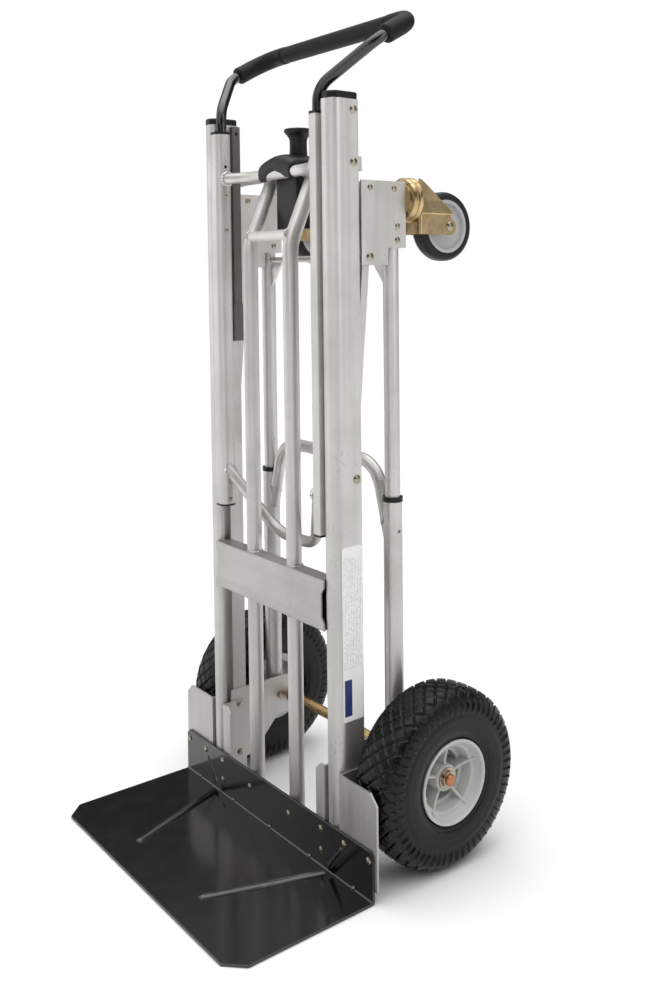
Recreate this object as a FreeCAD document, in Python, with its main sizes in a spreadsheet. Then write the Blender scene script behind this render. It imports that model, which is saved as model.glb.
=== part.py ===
# Folding platform cart: a three-way aluminium hand truck in its upright position.
#
# Frame: +Z up, the toe plate points to -Y, +X is the cart's right-hand side.
# The origin is the middle of the footprint, on the floor.  Every sub-part is drawn
# with Y measured from the front face of the toe plate's flange, and its Placement
# moves it to the shared origin (datum_y).
import FreeCAD, Part
import math
import os

import Sketcher
from FreeCAD import Placement, Rotation, Vector

os.makedirs("parts", exist_ok=True)
doc = FreeCAD.newDocument("FoldingCart")

# --------------------------------------------------------------------------
# Driving dimensions, millimetres and degrees
# --------------------------------------------------------------------------
SIZES = {
    # footprint
    "datum_y": -24.05,
    # toe plate
    "toe_width": 490, "toe_depth": 219.7, "toe_sheet": 4, "toe_flange": 70.7,
    "toe_corner": 26,
    # side rails: half-round nose, slider groove on the inner face, channel at the back
    "rail_outer": 168.6, "rail_width": 30, "rail_front": 4, "rail_back": 50,
    "rail_foot": 8, "rail_top": 1073.5, "rail_wall": 2.5, "nose_outer": 14.6,
    "nose_inner": 9.5, "groove_front": 14, "groove_back": 26, "groove_deep": 11,
    "web_front": 31.5, "cap_height": 10,
    # centre tubes and what joins them
    "tube_x": 52.8, "tube_radius": 11.4, "tube_wall": 2, "tube_bend_z": 880,
    "brace_z": 893.7, "brace_radius": 7.5,
    "crossbar_y": 62, "crossbar_z": 987, "crossbar_radius": 8, "crossbar_reach": 136,
    # centre panel
    "panel_half": 143.5, "panel_low": 340, "panel_high": 412, "panel_deep": 27,
    "panel_wall": 2.5,
    # angles and axle plates at the foot
    "angle_sheet": 3, "angle_low": 17, "angle_high": 147, "angle_reach": 249.5,
    "inner_reach": 115, "plate_high": 165, "plate_back": 157,
    # axle and main wheels
    "axle_y": 140, "axle_z": 127, "axle_radius": 7.9, "axle_end": 250,
    "wheel_radius": 127, "wheel_inner": 176, "wheel_outer": 261, "rim_radius": 59,
    "boss_face": 240,
    # rear legs
    "leg_x": 155.5, "leg_y": 117.5, "leg_low_radius": 13.7, "leg_low_wall": 2.2,
    "leg_high_radius": 11.2, "leg_high_wall": 2, "leg_pivot_z": 133.8, "leg_foot": 116,
    "leg_joint_z": 513, "lock_z": 467, "leg_inside_z": 400, "leg_head_z": 960, "collar_radius": 14.8,
    "arch_z": 561, "arch_radius": 9.5, "leg_bar_z": 859.7, "leg_bar_radius": 5,
    # caster brackets
    "bracket_front": 54, "bracket_back": 134.6, "bracket_low": 848,
    "bracket_step": 101, "bracket_step_z": 872, "bracket_top": 965.2,
    "bracket_sheet": 2.5, "bracket_outer": 169.3, "bracket_inner": 141.5,
    # struts
    "strut_x": 155, "strut_low_y": 41.6, "strut_low_z": 552.2,
    "strut_top_y": 68.2, "strut_top_z": 859.1, "strut_thick": 12, "strut_wide": 12,
    # casters
    "swivel_z": 941, "caster_y": 217, "caster_z": 904.2, "caster_radius": 50.8,
    "caster_width": 26, "race_radius": 32,
    # folding handle
    "side_inner": 116, "side_gap": 0.5, "side_front": 0, "side_back": 26,
    "side_round": 10, "side_low": 474, "side_high": 1055.4, "side_wall": 2,
    "tilt_y": 20, "tilt_z": 482,
    "bow_z": 986, "bow_radius": 8.5, "bow_mid": 33,
    "loop_z": 527, "loop_lean": 26, "loop_drop": 104,
    "arm_x": 127, "arm_y": 13, "arm_radius": 8, "arm_bend_z": 1092,
    "knee_x": 187, "knee_y": 70, "knee_z": 1155,
    "bar_y": 141, "bar_z": 1195, "grip_radius": 14,
    # latch
    "knob_y": 70, "knob_neck": 6, "keeper_low": 904, "keeper_half": 27,
    "saddle_half": 46, "saddle_top": 1012,
}

sheet = doc.addObject("Spreadsheet::Sheet", "Sizes")
for row, (alias, value) in enumerate(SIZES.items(), start=1):
    sheet.set("A%d" % row, alias)
    sheet.set("B%d" % row, str(value))
    sheet.setAlias("B%d" % row, alias)
doc.recompute()


def size(alias):
    """The sheet's value, as a plain number."""
    return float(getattr(sheet, alias))


# --------------------------------------------------------------------------
# Helpers
# --------------------------------------------------------------------------
PARTS = []
SIDES = (("left", -1), ("right", 1))


def keep(obj, label):
    """Name a finished sub-part and move it from the flange datum to the origin."""
    obj.Label = label
    obj.setExpression("Placement.Base.y", "Sizes.datum_y")
    PARTS.append(obj)
    return obj


def shaped(label, shape):
    """A sub-part whose shape is worked out here from the sheet's values."""
    obj = doc.addObject("Part::Feature", label)
    obj.Shape = shape
    return keep(obj, label)


def cut(name, base, tool):
    obj = doc.addObject("Part::Cut", name)
    obj.Base = base
    obj.Tool = tool
    return obj


def block_at(sign, near, far, front, back, low, high):
    """A block on one side of the cart, between two distances from its middle."""
    x = min(sign * near, sign * far)
    return Part.makeBox(abs(far - near), back - front, high - low, Vector(x, front, low))


def prism(points, direction):
    """A flat outline pushed along a direction."""
    corners = [Vector(*p) for p in points]
    return Part.Face(Part.makePolygon(corners + corners[:1])).extrude(Vector(*direction))


def ring_about(centre, direction, points):
    """A turned solid: points are (distance along the direction, radius)."""
    centre, direction = Vector(*centre), Vector(*direction)
    out = Vector(0, 0, 1) if abs(direction.z) < 0.5 else Vector(1, 0, 0)
    corners = [centre + direction * along + out * radius for along, radius in points]
    face = Part.Face(Part.makePolygon(corners + corners[:1]))
    return face.revolve(centre, direction, 360)


def mirrored(sign, points):
    """Outline points (u, v[, corner radius]) for the left (-1) or right (+1) side."""
    return [(sign * point[0],) + tuple(point[1:]) for point in points]


def largest(shape):
    """The biggest solid of a shape, without the crumbs that a cut leaves."""
    return max(shape.Solids, key=lambda solid: solid.Volume)


def origin_plane(body, role):
    return [f for f in body.Origin.OriginFeatures if f.Role == role][0]


def sketch_on(body, role, offset=0.0):
    sketch = body.newObject("Sketcher::SketchObject", body.Name + "_sketch")
    sketch.AttachmentSupport = [(origin_plane(body, role), "")]
    sketch.MapMode = "FlatFace"
    sketch.AttachmentOffset = Placement(Vector(0, 0, offset), Rotation())
    return sketch


def outline(sketch, points):
    """A closed outline.  A point is (u, v), or (u, v, radius) for a rounded corner."""
    corners = [Vector(p[0], p[1], 0) for p in points]
    count = len(points)
    starts, ends = [], []
    arcs = []
    for i, point in enumerate(points):
        here = corners[i]
        back = (corners[i - 1] - here).normalize()
        ahead = (corners[(i + 1) % count] - here).normalize()
        radius = point[2] if len(point) > 2 else 0
        if radius == 0:
            starts.append(here)
            ends.append(here)
            continue
        half = back.getAngle(ahead) / 2
        reach = radius / math.tan(half)
        centre = here + (back + ahead).normalize() * (radius / math.sin(half))
        middle = centre + (here - centre).normalize() * radius
        starts.append(here + back * reach)
        ends.append(here + ahead * reach)
        arcs.append(Part.Arc(starts[-1], middle, ends[-1]))
    for i in range(count):
        begin, finish = ends[i], starts[(i + 1) % count]
        if begin.distanceToPoint(finish) > 1e-6:
            sketch.addGeometry(Part.LineSegment(begin, finish), False)
    for arc in arcs:
        sketch.addGeometry(arc, False)
    return sketch


def circle(sketch, centre, radius_expression):
    """A circle whose radius is bound to the sheet."""
    index = sketch.addGeometry(
        Part.Circle(Vector(centre[0], centre[1], 0), Vector(0, 0, 1), 5), False)
    constraint = sketch.addConstraint(Sketcher.Constraint("Radius", index, 5))
    sketch.setExpression("Constraints[%d]" % constraint, radius_expression)
    return sketch


def new_body(label):
    return doc.addObject("PartDesign::Body", label)


def pad(body, sketch, length, reverse=False):
    feature = body.newObject("PartDesign::Pad", "Pad")
    feature.Profile = sketch
    feature.setExpression("Length", length)
    feature.Reversed = reverse
    return feature


def pocket(body, name, sketch, depth, reverse=False):
    """A cut of one depth, checked to have removed something."""
    doc.recompute()
    before = body.Shape.Volume
    feature = body.newObject("PartDesign::Pocket", name)
    feature.Profile = sketch
    feature.Type = "Length"
    feature.Length = depth
    feature.Reversed = reverse
    doc.recompute()
    if body.Shape.Volume > before - 0.1:
        raise RuntimeError("%s cuts nothing from %s" % (name, body.Name))
    return feature


def route(points, bend):
    """Straight runs joined by tangent arcs of one bend radius, as one wire."""
    points = [Vector(*p) for p in points]
    edges = []
    last = points[0]
    for before, here, after in zip(points, points[1:], points[2:]):
        back = (before - here).normalize()
        ahead = (after - here).normalize()
        half = back.getAngle(ahead) / 2
        reach = bend / math.tan(half)
        start = here + back * reach
        end = here + ahead * reach
        centre = here + (back + ahead).normalize() * (bend / math.sin(half))
        middle = centre + (here - centre).normalize() * bend
        edges.append(Part.LineSegment(last, start).toShape())
        edges.append(Part.Arc(start, middle, end).toShape())
        last = end
    edges.append(Part.LineSegment(last, points[-1]).toShape())
    return Part.Wire(edges)


def rod(points, radius, bend):
    """A round bar along a route."""
    spine = route(points, bend)
    first, second = Vector(*points[0]), Vector(*points[1])
    ring = Part.Circle(first, second - first, radius).toShape()
    return spine.makePipeShell([Part.Wire(ring)], True, False)


def bent_tube(points, radius, wall, bend):
    return rod(points, radius, bend).cut(rod(points, radius - wall, bend))


def cylinder(radius, start, end):
    start, end = Vector(*start), Vector(*end)
    return Part.makeCylinder(radius, (end - start).Length, start, end - start)


def domed_rivet(at, direction, radius, height):
    """The head of a rivet, standing on a surface: a low upright rim and a dome on it."""
    at, direction = Vector(*at), Vector(*direction).normalize()
    out = Vector(0, 0, 1) if abs(direction.z) < 0.5 else Vector(1, 0, 0)
    rim, rise = 0.3 * height, 0.7 * height
    ball = (radius ** 2 + rise ** 2) / (2 * rise)
    half_way = math.asin(radius / ball) / 2
    shoulder = at + direction * rim + out * radius
    crown = at + direction * height
    middle = crown + direction * (ball * (math.cos(half_way) - 1)) \
        + out * (ball * math.sin(half_way))
    edges = [Part.LineSegment(at, at + out * radius), Part.LineSegment(at + out * radius, shoulder),
             Part.Arc(shoulder, middle, crown), Part.LineSegment(crown, at)]
    face = Part.Face(Part.Wire([edge.toShape() for edge in edges]))
    return face.revolve(at, direction, 360)


# --------------------------------------------------------------------------
# Side rails, their caps and the strips behind them
# --------------------------------------------------------------------------
def make_rail(side, sign):
    """Extrusion: half-round nose, slider groove facing the other rail, rear channel."""
    outer, front, back = size("rail_outer"), size("rail_front"), size("rail_back")
    wall, web = size("rail_wall"), size("web_front")
    inner = outer - size("rail_width")
    groove_x = inner + size("groove_deep")
    groove_front, groove_back = size("groove_front"), size("groove_back")
    body = new_body("rail_" + side)
    section = sketch_on(body, "XY_Plane", size("rail_foot"))
    outline(section, mirrored(sign, [
        (outer, back), (outer, front, size("nose_outer")), (inner, front, size("nose_inner")),
        (inner, groove_front), (groove_x, groove_front), (groove_x, groove_back),
        (inner, groove_back), (inner, back), (inner + wall, back),
        (inner + wall, web + wall), (outer - wall, web + wall), (outer - wall, back)]))
    outline(section, mirrored(sign, [
        (outer - wall, web), (outer - wall, front + wall, size("nose_outer") - wall),
        (inner + wall, front + wall, 4),
        (inner + wall, groove_front - wall), (groove_x + wall, groove_front - wall),
        (groove_x + wall, web)]))
    pad(body, section, "Sizes.rail_top - Sizes.rail_foot")
    keep(body, "rail_" + side)


def make_rail_cap(sign):
    """A moulded end cap: the rail's outline with a soft top edge."""
    outer, front, back = size("rail_outer"), size("rail_front"), size("rail_back")
    inner, top = outer - size("rail_width"), size("rail_top")
    points = [(outer, front + 9), (outer - 9, front), (inner + 9, front), (inner, front + 9),
              (inner, back), (outer, back)]
    block = prism([(sign * u, v, top) for u, v in points], (0, 0, size("cap_height")))
    upright = [e for e in block.Edges if e.BoundBox.ZLength > 5]
    block = block.makeFillet(3.5, upright)
    rim = [e for e in block.Edges if e.BoundBox.ZMin > top + size("cap_height") - 0.5]
    return block.makeFillet(3, rim)


def make_guide_strip(sign):
    """The strip behind the groove, with a thicker pad at its foot."""
    inner = size("rail_outer") - size("rail_width")
    strip = block_at(sign, inner - 7, inner, 36, 49.9, 790, 1071)
    strip = strip.cut(cylinder(3, (sign * 120, 43, 1060), (sign * 150, 43, 1060)))
    foot = block_at(sign, inner - 9, inner, 33.5, 49.9, 731, 790)
    return strip.fuse(foot).removeSplitter()


for side, sign in SIDES:
    make_rail(side, sign)
shaped("rail_caps", Part.makeCompound([make_rail_cap(sign) for _, sign in SIDES]))
shaped("guide_strips", Part.makeCompound([make_guide_strip(sign) for _, sign in SIDES]))


# --------------------------------------------------------------------------
# Centre tubes, brace, top crossbar and centre panel
# --------------------------------------------------------------------------
def centre_tube_y():
    return size("toe_sheet") + size("tube_radius")


def centre_tube_route(sign):
    x = sign * size("tube_x")
    return [(x, centre_tube_y(), 10), (x, centre_tube_y(), size("tube_bend_z")),
            (x, size("crossbar_y"), size("crossbar_z"))]


CENTRE_BEND = 90
bar_y, bar_z = size("crossbar_y"), size("crossbar_z")
bar_reach, bar_radius = size("crossbar_reach"), size("crossbar_radius")
bar_solid = cylinder(bar_radius, (-bar_reach, bar_y, bar_z), (bar_reach, bar_y, bar_z))
crossbar = bar_solid.cut(
    cylinder(bar_radius - 1.8, (-bar_reach, bar_y, bar_z), (bar_reach, bar_y, bar_z)))
for _, sign in SIDES:
    # flattened ends that lie against the rails' rear edges
    tab = block_at(sign, bar_reach - 4, size("rail_outer") - 2, size("rail_back") + 0.1,
                   bar_y - 4.5, bar_z - 10, bar_z + 10)
    crossbar = crossbar.fuse(tab)
shaped("top_crossbar", crossbar.removeSplitter())

for side, sign in SIDES:
    spine = centre_tube_route(sign)
    tube = bent_tube(spine, size("tube_radius"), size("tube_wall"), CENTRE_BEND)
    shaped("centre_tube_" + side, largest(tube.cut(bar_solid)))

brace_z = size("brace_z")
brace = cylinder(size("brace_radius"), (-size("tube_x"), centre_tube_y(), brace_z),
                 (size("tube_x"), centre_tube_y(), brace_z))
for _, sign in SIDES:
    brace = brace.cut(rod(centre_tube_route(sign), size("tube_radius"), CENTRE_BEND))
shaped("tube_brace", largest(brace))


def make_panel():
    """A box-section cross panel: notched front face, pierced for the centre tubes."""
    half, low, high = size("panel_half"), size("panel_low"), size("panel_high")
    inner = size("rail_outer") - size("rail_width") - 0.2
    wall, deep = size("panel_wall"), size("panel_deep")
    body = new_body("centre_panel")
    profile = sketch_on(body, "YZ_Plane", -half)
    outline(profile, [(0, low, 3), (0, high, 3), (deep, high, 2), (deep, low, 2)])
    outline(profile, [(wall, low + wall), (wall, high - wall), (deep - wall, high - wall),
                      (deep - wall, low + wall)])
    pad(body, profile, "2 * Sizes.panel_half")
    ends = sketch_on(body, "XY_Plane", high + 5)
    for sign in (-1, 1):
        outline(ends, [(sign * inner, wall + 0.5), (sign * (half + 5), wall + 0.5),
                       (sign * (half + 5), deep + 5), (sign * inner, deep + 5)])
    pocket(body, "EndCut", ends, high - low + 10)
    notch = sketch_on(body, "XZ_Plane")
    for sign in (-1, 1):
        outline(notch, [(sign * (half + 2), low + 8), (sign * (half - 6), low + 20),
                        (sign * (half - 6), high - 20), (sign * (half + 2), high - 8)])
    pocket(body, "Notch", notch, wall + 1)
    holes = sketch_on(body, "XY_Plane", high + 5)
    for sign in (-1, 1):
        circle(holes, (sign * size("tube_x"), centre_tube_y()), "Sizes.tube_radius + 0.1")
    pocket(body, "TubeHoles", holes, high - low + 10)
    keep(body, "centre_panel")


make_panel()


# --------------------------------------------------------------------------
# Toe plate with its ribs, and the brackets at the foot of the rails
# --------------------------------------------------------------------------
def make_toe_sheet():
    """The bent sheet alone: floor plate with cut corners, and the upturned flange."""
    half, depth = size("toe_width") / 2, size("toe_depth")
    thick, flange, corner = size("toe_sheet"), size("toe_flange"), size("toe_corner")
    body = new_body("toe_sheet")
    section = sketch_on(body, "YZ_Plane", -half)
    outline(section, [(-depth, 0, 1), (thick, 0, 5), (thick, flange, 1), (0, flange, 1),
                      (0, thick, 3), (-depth, thick, 1)])
    pad(body, section, "Sizes.toe_width")
    corners = sketch_on(body, "XY_Plane", 10)
    for sign in (-1, 1):
        outline(corners, [(sign * (half + 1), -depth - 1), (sign * (half - corner), -depth - 1),
                          (sign * (half + 1), -depth + corner)])
    pocket(body, "CornerCut", corners, 20)
    upright = sketch_on(body, "XZ_Plane", 5)
    for sign in (-1, 1):
        outline(upright, [(sign * (half + 1), flange + 1), (sign * (half - 7), flange + 1),
                          (sign * (half + 1), flange - 7)])
    pocket(body, "FlangeCorners", upright, 20)
    return body


def toe_ribs(sign):
    """A pressed rib: a low tapered ridge from the fold towards the front edge,
    and its short continuation up the flange."""
    top = size("toe_sheet")
    fold, tip = Vector(sign * 148, -8, top - 3), Vector(sign * 90, -168, top - 3)
    ridge = Part.makeCone(8.5, 6.5, (tip - fold).Length, fold, tip - fold)
    ridge = ridge.fuse(Part.makeSphere(6.5, tip))
    start, peak = Vector(sign * 152, 3, 14), Vector(sign * 178, 3, 46)
    rise = Part.makeCone(6.5, 5, (peak - start).Length, start, peak - start)
    rise = rise.fuse(Part.makeSphere(5, peak))
    above = Part.makeBox(600, 200, 30, Vector(-300, -200, top - 0.5))
    before = Part.makeBox(600, 30, 60, Vector(-300, -29.5, top))
    return [ridge.common(above), rise.common(before)]


def fold_darts():
    """Small pressed darts that stiffen the fold."""
    darts = []
    for x in (-203, -102, 0, 102, 203):
        ball = Part.makeSphere(6, Vector(x, 1.5, size("toe_sheet") - 1.5))
        darts.append(ball.common(Part.makeBox(20, 10, 10, Vector(x - 10, -8, 3))))
    return darts


toe_sheet = make_toe_sheet()
ribs = doc.addObject("Part::Feature", "toe_ribs")
ribs.Shape = Part.makeCompound(toe_ribs(-1) + toe_ribs(1) + fold_darts())
toe_plate = doc.addObject("Part::MultiFuse", "toe_plate")
toe_plate.Shapes = [toe_sheet, ribs]
toe_plate.Refine = True
keep(toe_plate, "toe_plate")


def angle_flange(sign, near, far, corner_cut):
    """The front flange of a toe angle, standing against the back of the toe plate."""
    low, high, front = size("angle_low"), size("angle_high"), size("toe_sheet") + 0.1
    points = [(near, low), (far, low), (far, high - corner_cut)]
    step = corner_cut if far > near else -corner_cut
    points += [(far - step, high), (near, high)]
    return prism([(sign * x, front, z) for x, z in points], (0, size("angle_sheet"), 0))


def make_outer_angle(sign):
    """Wide flange behind the wheel side of the toe plate, web along the rail."""
    outer, thick = size("rail_outer") + 0.1, size("angle_sheet")
    web = block_at(sign, outer, outer + thick, size("toe_sheet") + 0.1, 43,
                   size("angle_low"), size("angle_high"))
    return web.fuse(angle_flange(sign, outer, size("angle_reach"), 13.6)).removeSplitter()


def make_inner_angle(sign):
    """Narrow flange between the rails; its web lies over the axle plate."""
    thick = size("angle_sheet")
    face = size("rail_outer") - size("rail_width") - 0.2 - thick
    web = block_at(sign, face - thick, face, size("toe_sheet") + 0.1, 41,
                   size("angle_low"), size("angle_high"))
    return web.fuse(angle_flange(sign, face, size("inner_reach"), 10)).removeSplitter()


def make_axle_plate(sign):
    """Flat plate on the rail's inner face that carries the axle and the leg pivot."""
    face, thick = size("rail_outer") - size("rail_width") - 0.1, size("angle_sheet")
    high, back = size("plate_high"), size("plate_back")
    points = [(20, 50), (62, 50), (111, 103), (back - 8, 103), (back, 112), (back, high - 8),
              (back - 8, high), (20, high)]
    low_x = min(sign * face, sign * (face - thick))
    plate = prism([(low_x, y, z) for y, z in points], (thick, 0, 0))
    for y, z, radius in ((size("axle_y"), size("axle_z"), size("axle_radius")),
                         (size("leg_y"), size("leg_pivot_z"), 4)):
        plate = plate.cut(cylinder(radius, (sign * 120, y, z), (sign * 150, y, z)))
    return plate


for side, sign in SIDES:
    shaped("toe_angle_" + side, make_outer_angle(sign))
    shaped("axle_plate_" + side, make_axle_plate(sign))
shaped("inner_toe_angles", Part.makeCompound([make_inner_angle(sign) for _, sign in SIDES]))


# --------------------------------------------------------------------------
# Fasteners of the fixed frame
# --------------------------------------------------------------------------
TOE_RIVETS = ((237, 57.5), (184, 57.5), (131.5, 57), (131.5, 26.5), (52, 45.7))
STRUT_PIVOT = (size("strut_low_y"), size("strut_low_z"))
web_face = size("rail_outer") - size("rail_width") - 0.2 - 2 * size("angle_sheet")
rivets = []
for _, sign in SIDES:
    for x, z in TOE_RIVETS:
        rivets.append(domed_rivet((sign * x, 0, z), (0, -1, 0), 4.8, 2.4))
    for z in (1059.6, 988.3, STRUT_PIVOT[1]):
        rivets.append(domed_rivet((sign * size("rail_outer"), 41.6, z), (sign, 0, 0), 6, 3))
    for z in (141, 62):
        rivets.append(domed_rivet((sign * web_face, 33.6, z), (-sign, 0, 0), 5.5, 2.6))
shaped("frame_rivets", Part.makeCompound(rivets))

pins = []
for _, sign in SIDES:
    wall_x = size("rail_outer") - size("rail_wall")
    inner_x = size("rail_outer") - size("rail_width") + size("rail_wall")
    pins.append(cylinder(4, (sign * wall_x, *STRUT_PIVOT), (sign * inner_x, *STRUT_PIVOT)))
    leg_pivot = (size("leg_y"), size("leg_pivot_z"))
    nut_x = size("rail_outer") - size("rail_width") - 0.1 - size("angle_sheet")
    head_x = size("leg_x") + size("leg_low_radius") + 0.6
    pins.append(ring_about((0, *leg_pivot), (sign, 0, 0), [
        (nut_x - 5, 0), (nut_x - 5, 7), (nut_x, 7), (nut_x, 4), (head_x, 4), (head_x, 6.5),
        (head_x + 2, 5.5), (head_x + 3.2, 3), (head_x + 3.2, 0)]))
shaped("pivot_pins", Part.makeCompound(pins))


# --------------------------------------------------------------------------
# Axle, its spacers and nuts, and the two main wheels
# --------------------------------------------------------------------------
AXLE_AT = (size("axle_y"), size("axle_z"))
axle_bar = doc.addObject("Part::Cylinder", "axle_bar")
axle_bar.setExpression("Radius", "Sizes.axle_radius")
axle_bar.setExpression("Height", "2 * Sizes.axle_end")
axle_bar.Placement = Placement(Vector(-size("axle_end"), *AXLE_AT),
                               Rotation(Vector(0, 1, 0), 90))
doc.recompute()
axle = doc.addObject("Part::Chamfer", "axle")
axle.Base = axle_bar
axle.Edges = [(number, 1.2, 1.2) for number, edge in enumerate(axle_bar.Shape.Edges, start=1)
              if edge.Curve.TypeId == "Part::GeomCircle"]
keep(axle, "axle")


def axle_ring(sign, start, end, radius, bore):
    ring = cylinder(radius, (sign * start, *AXLE_AT), (sign * end, *AXLE_AT))
    return ring.cut(cylinder(bore, (sign * (start - 1), *AXLE_AT), (sign * (end + 1), *AXLE_AT)))


FIT = 0.05
boss = size("boss_face")
plate_face = size("rail_outer") - size("rail_width") - 0.1 - size("angle_sheet")
fittings = []
for _, sign in SIDES:
    for start, end, radius in ((170.5, 181.5, 12), (boss + 0.3, boss + 2.6, 15),
                               (boss + 2.6, boss + 6.5, 11),
                               (plate_face - 5, plate_face, 11)):
        fittings.append(axle_ring(sign, start, end, radius, size("axle_radius")))
shaped("axle_fittings", Part.makeCompound(fittings))


def make_tyre(side, sign):
    """Solid flat-free tyre, turned about the axle."""
    inner, outer, radius = size("wheel_inner"), size("wheel_outer"), size("wheel_radius")
    rim, (y, z) = size("rim_radius"), AXLE_AT
    body = new_body("tyre_" + side)
    section = sketch_on(body, "XZ_Plane", -y)
    outline(section, mirrored(sign, [
        (inner + 9, z + rim - 3), (inner + 1, z + 78, 14), (inner, z + 106, 14),
        (inner + 12, z + radius, 11), (outer - 12, z + radius, 11),
        (outer, z + 106, 14), (outer - 1, z + 78, 14), (outer - 9, z + rim - 3)]))
    section.addGeometry(Part.LineSegment(Vector(0, z, 0), Vector(sign * 300, z, 0)), True)
    turned = body.newObject("PartDesign::Revolution", "Revolution")
    turned.Profile = section
    turned.ReferenceAxis = (section, ["Axis0"])
    turned.Angle = 360
    keep(body, "tyre_" + side)


SPOKES = 5


def make_hub(side, sign):
    """Deep-dished moulded hub: rim, web with windows, ribs and a long bearing boss."""
    inner, outer, rim = size("wheel_inner"), size("wheel_outer"), size("rim_radius")
    back, lip = inner + 9, outer - 3
    points = [(back, 46), (back, rim - 3), (outer - 9, rim - 3), (outer - 6, rim),
              (lip - 1, rim), (lip, rim - 1), (lip, 47), (lip - 2, 45), (218, 41), (218, 20),
              (boss - 1, 18.5), (boss, 17.5), (boss, 13), (182, 13), (182, 19),
              (208, 21), (208, 42), (back + 1, 44)]
    hub = ring_about((0, *AXLE_AT), (1, 0, 0), [(sign * x, radius) for x, radius in points])
    spoke = block_at(sign, 217, 237, AXLE_AT[0] - 2, AXLE_AT[0] + 2,
                     AXLE_AT[1] + 17.5, AXLE_AT[1] + 43.5)
    window = block_at(sign, 206, 220, AXLE_AT[0] - 8.5, AXLE_AT[0] + 8.5,
                      AXLE_AT[1] + 22.5, AXLE_AT[1] + 40)
    centre, along = Vector(0, *AXLE_AT), Vector(1, 0, 0)
    for i in range(SPOKES):
        turn = 360 / SPOKES
        hub = hub.cut(window.rotated(centre, along, turn * i))
        hub = hub.fuse(spoke.rotated(centre, along, turn * (i + 0.5)))
    shaped("hub_" + side, hub.removeSplitter())


for side, sign in SIDES:
    make_tyre(side, sign)
    make_hub(side, sign)
    bearings = [axle_ring(sign, start, start + 8, 13, size("axle_radius") + FIT)
                for start in (182, boss - 8)]
    shaped("wheel_bearings_" + side, Part.makeCompound(bearings))


# --------------------------------------------------------------------------
# Rear legs: lower tubes with their arch, and the telescoping upper tubes
# --------------------------------------------------------------------------
def tube_between(label, x_expr, radius, wall, low, high):
    """A vertical tube in the legs' plane, bound to the sheet."""
    pieces = []
    for name, expression in (("_outside", radius), ("_bore", "%s - %s" % (radius, wall))):
        piece = doc.addObject("Part::Cylinder", label + name)
        piece.setExpression("Radius", expression)
        piece.setExpression("Height", "%s - %s" % (high, low))
        piece.setExpression("Placement.Base.x", x_expr)
        piece.setExpression("Placement.Base.y", "Sizes.leg_y")
        piece.setExpression("Placement.Base.z", low)
        pieces.append(piece)
    return cut(label, *pieces)


leg_y, pivot_z = size("leg_y"), size("leg_pivot_z")
for side, sign in SIDES:
    name = "lower_leg_" + side
    x = sign * size("leg_x")
    tube = tube_between(name + "_tube", "%d * Sizes.leg_x" % sign, "Sizes.leg_low_radius",
                        "Sizes.leg_low_wall", "Sizes.leg_foot", "Sizes.leg_joint_z")
    # everything of a square-ended foot outside a round end is trimmed away
    foot = cylinder(size("leg_low_radius") + 4, (x - 20, leg_y, pivot_z), (x + 20, leg_y, pivot_z))
    below = Part.makeBox(60, 60, pivot_z - 60, Vector(x - 30, leg_y - 30, 60))
    trim = doc.addObject("Part::Feature", name + "_trim")
    hole = cylinder(4.08, (x - 20, leg_y, pivot_z), (x + 20, leg_y, pivot_z))
    # the lock hole opens through the outer wall only
    lock_hole = cylinder(2.6, (x + sign * 8, leg_y, size("lock_z")),
                         (x + sign * 20, leg_y, size("lock_z")))
    trim.Shape = Part.makeCompound([below.cut(foot), hole, lock_hole])
    keep(cut(name, tube, trim), name)

    name = "upper_leg_" + side
    keep(tube_between(name, "%d * Sizes.leg_x" % sign, "Sizes.leg_high_radius",
                      "Sizes.leg_high_wall", "Sizes.leg_inside_z", "Sizes.leg_head_z"), name)

arch_foot = size("leg_x") - 6
arch_points = [(-arch_foot, leg_y, 452), (-120, leg_y, size("arch_z")),
               (120, leg_y, size("arch_z")), (arch_foot, leg_y, 452)]
arch = bent_tube(arch_points, size("arch_radius"), 1.8, 50)
for _, sign in SIDES:
    x = sign * size("leg_x")
    arch = arch.cut(Part.makeCylinder(size("leg_low_radius"), 300, Vector(x, leg_y, 300)))
    arch = arch.cut(Part.makeCylinder(size("collar_radius") + 0.3, 100, Vector(x, leg_y, 500)))
shaped("leg_arch", largest(arch))

collars = []
for _, sign in SIDES:
    x, joint = sign * size("leg_x"), size("leg_joint_z")
    sleeve = Part.makeCylinder(size("collar_radius"), 7, Vector(x, leg_y, joint - 4))
    sleeve = sleeve.cut(Part.makeCylinder(size("leg_low_radius"), 4, Vector(x, leg_y, joint - 4)))
    bore = Part.makeCylinder(size("leg_high_radius") + 0.1, 60, Vector(x, leg_y, joint - 20))
    collars.append(sleeve.cut(bore))
shaped("leg_collars", Part.makeCompound(collars))

bar_z = size("leg_bar_z")
leg_bar = cylinder(size("leg_bar_radius"), (-size("leg_x"), leg_y, bar_z),
                   (size("leg_x"), leg_y, bar_z))
for _, sign in SIDES:
    inside = size("leg_x") - size("leg_high_radius") + 2
    points = [(inside, bar_z), (inside - 32, bar_z), (inside - 30, bar_z - 7),
              (inside, bar_z - 44)]
    leg_bar = leg_bar.fuse(prism([(sign * x, leg_y - 2, z) for x, z in points], (0, 4, 0)))
for _, sign in SIDES:
    leg_bar = leg_bar.cut(Part.makeCylinder(size("leg_high_radius"), 300,
                                            Vector(sign * size("leg_x"), leg_y, 700)))
    leg_bar = leg_bar.cut(block_at(sign, size("bracket_inner") - 0.1, 180, 50, 140,
                                   size("bracket_low") - 1, 970))
shaped("leg_crossbar", largest(leg_bar.removeSplitter()))


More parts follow.
